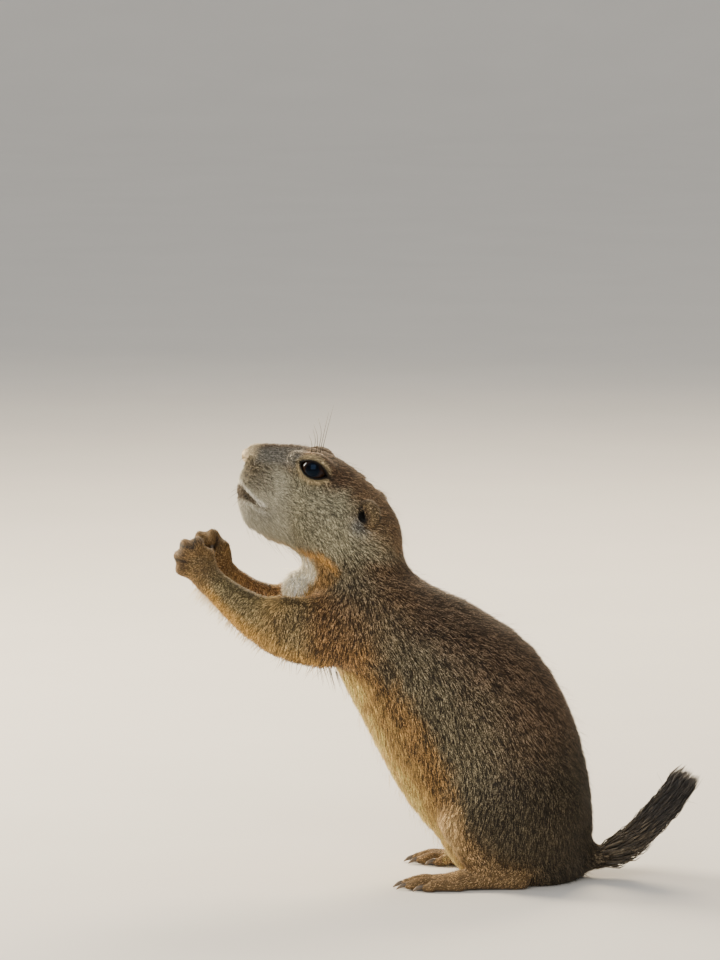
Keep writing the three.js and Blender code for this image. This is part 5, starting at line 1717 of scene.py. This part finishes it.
@dataclass
class Claws:
    """Curved, tapered claws on the digits of one hand or the toes of one foot."""

    side: int
    rings: int = 12
    sides: int = 10

    def claw(self, joints: list, radii: list, up: tuple) -> tuple:
        """One claw: a deep narrow section carried along its joints to a point."""
        rows = spline(np.column_stack([np.array(joints, float), radii]), self.rings)
        return wrap(carried(rows[:, :3], rows[:, 3], self.sides, up, 1.25))

    def finish(self, name: str, parts: list, nodes: list) -> bpy.types.Object:
        """Joins the claws, marks how far along each point is, and dresses them in horn."""
        points, faces = join(parts)
        piece = mesh_object(name, points, faces)
        note(piece, "Run", run_along(len(parts), self.rings, self.sides))
        piece.data.materials.append(Horn(f"Horn_{name}").make())
        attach(piece, "root")
        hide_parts(*nodes)
        return piece

    def hand(self) -> bpy.types.Object:
        """The four claws that curl back towards the palm."""
        label = NAMES[self.side]
        radii, up = [0.95, 0.85, 0.6, 0.15], (0.5, 0, 0.85)
        parts = [self.claw(digit(k, self.side, FINGER_CLAW), radii, up) for k in KNUCKLES]
        return self.finish(f"claws_hand_{label}", parts, [f"paw_claw_{label}_{i}" for i in (1, 2, 3, 4)])

    def foot(self) -> bpy.types.Object:
        """The five claws of the foot, each going on from its toe and down to the floor."""
        label = NAMES[self.side]
        parts = []
        for root, tip, radius in TOES:
            ahead = unit(np.array([tip[0] - root[0], tip[1] - root[1]]))
            start = np.array([tip[0], tip[1]]) - ahead * 0.8
            ends = [start + ahead * s for s in (0.0, 2.6, 4.8, 6.8)]
            joints = [(x, y * self.side, z) for (x, y), z in zip(ends, (2.3, 2.5, 1.8, 0.45))]
            parts.append(self.claw(joints, [1.15, 1.0, 0.7, 0.15], (0, 0, 1)))
        return self.finish(f"claws_foot_{label}", parts, [f"foot_claw_{label}_{i}" for i in (1, 2, 3, 4, 5)])


@dataclass
class Whiskers:
    """Stiff hairs of the muzzle, brow and cheek."""

    flesh: Flesh
    rings: int = 9
    sides: int = 5
    up: tuple = (0.3, 0.1, 1)
    rng: np.random.Generator = field(default_factory=lambda: np.random.default_rng(SEED + 1))

    def hair(self, aim: list, droop: float) -> tuple:
        """One hair from its root, way and length: root + way t, drooping by t^2, thin at the tip."""
        root, way, long = aim
        t = np.linspace(0, 1, self.rings)[:, None]
        path = root + way * long * t + np.array([0.25, 0, -1.0]) * droop * long * t**2
        return self.thinned(path, 0.12, 0.02)

    def thinned(self, path: Array, thick: float, least: float) -> tuple:
        """A hair along a path, its radius least + thick (1 - t^1.5) from root to tip."""
        radii = thick * (1 - np.linspace(0, 1, self.rings) ** 1.5) + least
        return wrap(carried(path, radii, self.sides, self.up))

    def surface(self, x: float, z: float, side: int) -> Array:
        """The skin's point at x and z on one side, found by halving the span in y."""
        low, high = 0.0, 30.0
        for _ in range(22):
            mid = (low + high) / 2
            if self.flesh.gap(np.array([[x, mid * side, z]]))[0] < 0:
                low = mid
            else:
                high = mid
        return np.array([x, low * side, z])

    def fringe(self, side: int, count: int = 260) -> list:
        """Long pale hairs under a forearm, each grown where a line down from its middle leaves the skin."""
        knots = mirrored([row[:3] for row in FOREARM[side]], side)
        t = self.rng.random(count) ** 0.75 * (len(knots) - 1)
        i = np.minimum(t.astype(int), len(knots) - 2)
        start = knots[i] + (knots[i + 1] - knots[i]) * (t - i)[:, None]
        way = np.array([-0.35, 0, -1]) + (self.rng.random((count, 3)) - 0.5) * np.array([0.25, 0.9, 0.1])
        way = unit(way)
        low, high = np.zeros(count), np.full(count, 20.0)
        for _ in range(14):
            mid = (low + high) / 2
            inside = self.flesh.gap(start + way * mid[:, None]) < 0
            low, high = np.where(inside, mid, low), np.where(inside, high, mid)
        root = start + way * (low - 0.4)[:, None]
        lean = unit(way + np.array([-0.45, 0, 0.1]) + (self.rng.random((count, 3)) - 0.5) * 0.5)
        long = 3.2 + 4.2 * self.rng.random(count)
        return [self.hair([a, b, c], 0.12) for a, b, c in zip(root, lean, long)]

    def pale(self) -> bpy.types.Object:
        """The fringes of both forearms as one piece."""
        parts = [hair for side in SIDES for hair in self.fringe(side)]
        points, faces = join(parts)
        piece = mesh_object("fringe_forearms", points, faces)
        note(piece, "Run", run_along(len(parts), self.rings, self.sides))
        piece.data.materials.append(Horn("Fringe", (0.72, 0.55, 0.30), (0.95, 0.86, 0.64), 0.5).make())
        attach(piece, "root")
        return piece

    def build(self) -> bpy.types.Object:
        """Rows on each pad, short ones at the lip, a few at the elbow and three bent hairs over each eye."""
        parts = []
        for side in SIDES:
            for x, z, row, k in pad_rows():
                if row % 2 or (k + row // 2) % 3:
                    continue
                root = self.surface(x, z, side) - np.array([0, side * 0.4, 0])
                way = unit(np.array([-0.25 + 0.08 * k, side * 0.8, 0.10 - 0.13 * row]))
                long = 7 + 1.5 * k + 3 * self.rng.random()
                parts.append(self.hair([root, way, long], 0.15 + 0.12 * self.rng.random()))
            for k in range(6):
                root = self.surface(-142.4 + 0.7 * k, 188 - 1.1 * k, side) - np.array([0, side * 0.4, 0])
                way = unit(np.array([-0.8, side * 0.25, -0.30 - 0.08 * k]))
                parts.append(self.hair([root, way, 6.5 + 3.5 * self.rng.random()], 0.15))
            for k in range(14):
                x = -107 + 10 * self.rng.random()
                root = np.array([x, side * (20 + 8 * self.rng.random()), 103.5 - 0.35 * (x + 102)])
                way = unit(np.array([0.15 + 0.3 * self.rng.random(), side * 0.1, -1]))
                parts.append(self.hair([root, way, 7 + 5 * self.rng.random()], 0.1))
            for joints in BROW_HAIRS:
                parts.append(self.thinned(spline(mirrored(joints, side), self.rings), 0.15, 0.03))
        points, faces = join(parts)
        piece = mesh_object("whiskers", points, faces)
        note(piece, "Run", run_along(len(parts), self.rings, self.sides))
        piece.data.materials.append(Horn("Whisker", (0.035, 0.026, 0.018), (0.20, 0.16, 0.11), 0.4).make())
        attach(piece, "root")
        return piece


@dataclass
class Brush:
    """The long dark hair of the tail's end: tapered locks that fan out and overlap from the tail's core."""

    locks: int = 3400
    rng: np.random.Generator = field(default_factory=lambda: np.random.default_rng(SEED + 2))

    def build(self, flesh: Flesh) -> bpy.types.Object:
        """Each lock leaves the core at a low angle and bends back along the tail, longest near its end."""
        rows = spline(np.array(TAIL, float), 80)
        centre, half, wide = rows[:, :3], rows[:, 3] - rows[:, 6], rows[:, 5] - rows[:, 6]
        along = unit(np.gradient(centre, axis=0))
        back = unit(np.cross([0.0, 1.0, 0.0], along))
        across = np.cross(along, back)
        n = self.locks
        s = 79 * (0.30 + 0.70 * self.rng.random(n) ** 0.8)
        i = np.minimum(s.astype(int), 78)
        f = (s - i)[:, None]
        mix = lambda a: a[i] * (1 - f) + a[i + 1] * f
        a = self.rng.random(n) * 2 * np.pi
        out = unit(np.cos(a)[:, None] * mix(back) + np.sin(a)[:, None] * mix(across))
        core = np.abs(np.cos(a)) * mix(half[:, None])[:, 0] + np.abs(np.sin(a)) * mix(wide[:, None])[:, 0]
        ahead = unit(mix(along))
        root = mix(centre) + out * (core * 0.85)[:, None]
        run = s / 79
        long = (9 + 8.5 * run) * (0.75 + 0.4 * self.rng.random(n))
        spread = (0.34 - 0.10 * run) * (0.5 + 0.9 * self.rng.random(n))
        side = np.cross(out, ahead) * (self.rng.random(n)[:, None] - 0.5) * 0.25
        t = np.linspace(0, 1, 4)[None, :, None]
        way = ahead + side
        path = root[:, None] + long[:, None, None] * (
            way[:, None] * t + out[:, None] * spread[:, None, None] * np.sin(t * 2.2) * 0.9)
        width = (0.42 + 0.25 * self.rng.random(n))[:, None, None] * np.array([0.8, 1.0, 0.72])[None, :, None]
        flat = np.cross(out, ahead)[:, None] * width
        ridge = out[:, None] * width * 0.6
        body = path[:, :3]
        rings = np.stack([body - flat, body + flat, body + ridge], 2).reshape(n, 9, 3)
        points = np.concatenate([rings, path[:, 3:4]], 1)
        one = [[0, 2, 1]]
        for k in (0, 3):
            one += [[k, k + 1, k + 4], [k, k + 4, k + 3], [k + 1, k + 2, k + 5], [k + 1, k + 5, k + 4]]
            one += [[k + 2, k, k + 3], [k + 2, k + 3, k + 5]]
        one += [[6, 7, 9], [7, 8, 9], [8, 6, 9]]
        faces = copies(np.array(one), n)
        piece = mesh_object("coat_tail_brush", points.reshape(-1, 3), faces)
        c = Palette()
        dark = ease(0.35, 0.72, run)[:, None]
        body = np.array(c.tail) * (1 - dark) + np.array(c.brush) * dark
        tone = (0.6 + 0.8 * self.rng.random(n))[:, None]
        pale = (self.rng.random(n) > 0.82)[:, None] * (1 - ease(0.5, 0.9, run))[:, None] * 0.4
        body = body * tone * (1 - pale) + np.array(c.pale) * 0.5 * pale
        shades = np.array([0.6, 0.6, 0.6, 1, 1, 1, 1.05, 1.05, 1.05, 1.1])[None, :, None]
        paint(piece, "Tint", (body[:, None] * shades).reshape(-1, 3))
        corners = [[u, v] for v in (-1, -0.3, 0.4) for u in (-1, 1, 0)] + [[0, 1]]
        place = flesh.unwrap(root)[:, None] + np.array(corners) * PATCH
        lay_map(piece, faces, place.reshape(-1, 2))
        note(piece, "Speck", np.full(len(piece.data.vertices), 0.3))
        piece.data.materials.append(Pelt("Brush_hair", 0.5, 0.1, 0.4).make())
        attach(piece, "root")
        return piece


@dataclass
class Studio:
    """A pale floor, soft lights and the camera at the photograph's angle."""

    azimuth: float = 4.5
    elevation: float = 7.0
    away: float = 3.5
    aim: tuple = (-87.9, 0.0, 190.0)

    def floor(self) -> bpy.types.Object:
        """A disc that sweeps up all round far from the animal: 0.3 (r - 4.6)^2 past a radius of 4.6 m."""
        r = np.linspace(0, 9.0, 60)[1:]
        a = np.linspace(0, 2 * np.pi, 64, endpoint=False)
        x, y = r[:, None] * np.cos(a), r[:, None] * np.sin(a)
        rise = np.broadcast_to(0.3 * np.maximum(r - 4.6, 0)[:, None] ** 2, x.shape)
        rings = np.stack([x, y, rise], -1).reshape(-1, 3) * 1000
        m = len(a)
        i, j = np.meshgrid(np.arange(len(r) - 1), np.arange(m), indexing="ij")
        p, q = i * m + j, i * m + (j + 1) % m
        faces = np.stack([p, p + m, q + m, q], -1).reshape(-1, 4)
        middle = np.column_stack([np.full(m // 2, len(rings)), np.arange(0, m, 2), np.arange(0, m, 2) + 1,
                                  (np.arange(0, m, 2) + 2) % m])
        points = np.vstack([rings, [[0, 0, 0]]])
        piece = mesh_object("floor", points, np.vstack([faces, middle]))
        piece.data.materials.append(Plaster().make())
        piece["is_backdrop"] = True
        return piece

    def lamp(self, name: str, at: tuple, size: float, power: float, colour: tuple) -> None:
        """A square area light at a place in metres, turned to the middle of the animal."""
        light = bpy.data.lights.new(name, "AREA")
        light.shape, light.size, light.energy, light.color = "SQUARE", size, power, colour
        lamp = bpy.data.objects.new(name, light)
        bpy.context.scene.collection.objects.link(lamp)
        lamp.location = at
        aim = Vector((-0.08, 0, 0.11)) - Vector(at)
        lamp.rotation_euler = aim.to_track_quat("-Z", "Y").to_euler()

    def lights(self) -> None:
        """A warm key from the front left and above, a broad fill from the camera's side and a rim light."""
        self.lamp("key", (-1.25, 0.45, 0.75), 0.5, 50, (1.0, 0.84, 0.60))
        self.lamp("fill", (-0.35, -1.9, 1.1), 1.6, 24, (1.0, 0.97, 0.92))
        self.lamp("rim", (0.1, 1.35, 1.2), 0.7, 34, (1.0, 0.80, 0.54))
        world = bpy.data.worlds.new("Soft_room")
        bpy.context.scene.world = world
        world.use_nodes = True
        back = world.node_tree.nodes["Background"]
        back.inputs["Color"].default_value = (1.0, 0.97, 0.92, 1)
        back.inputs["Strength"].default_value = 0.7

    def camera(self) -> None:
        """A long lens whose long side covers 456 mm at the animal."""
        az, el = math.radians(self.azimuth), math.radians(self.elevation)
        toward = Vector((math.sin(az) * math.cos(el), -math.cos(az) * math.cos(el), math.sin(el)))
        aim = Vector(self.aim) * MM
        data = bpy.data.cameras.new("camera")
        data.sensor_fit, data.sensor_width, data.sensor_height = "AUTO", 36, 36
        data.lens = 36 * self.away / 0.456
        data.clip_end = 100
        camera = bpy.data.objects.new("camera", data)
        bpy.context.scene.collection.objects.link(camera)
        camera.location = aim + toward * self.away
        camera.rotation_euler = (-toward).to_track_quat("-Z", "Y").to_euler()
        bpy.context.scene.camera = camera


def flesh_nodes() -> tuple:
    """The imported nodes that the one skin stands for: all but eyes, nose and claws."""
    names = sorted(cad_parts)
    return tuple(n for n in names if "claw" not in n and not n.startswith("eye_") and n != "nose")


def main() -> None:
    """Builds the animal from the skin outwards, then the studio, and works out both boxes."""
    logging.basicConfig(level=logging.INFO, format="%(name)s %(message)s")
    flesh, markings = Flesh(), Markings()
    skin = Skin(flesh, markings, flesh_nodes())
    skin.build()
    log.info("skin: %d faces", len(skin.faces))
    Coat(skin, flesh, markings).build()
    Brush().build(flesh)
    for side in SIDES:
        Eye(side).ball()
        Eye(side).lids()
        claws = Claws(side)
        claws.hand()
        claws.foot()
        log.info("eye and claws, side %d", side)
    Nose().build()
    whiskers = Whiskers(flesh)
    whiskers.build()
    whiskers.pale()
    log.info("nose and whiskers")
    studio = Studio()
    studio.floor()
    studio.lights()
    studio.camera()
    boxes = {"cad": CAD_BOX, "visual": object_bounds()}
    {k: [[float(v) for v in corner] for corner in box] for k, box in boxes.items()}


if __name__ == "__main__":
    main()
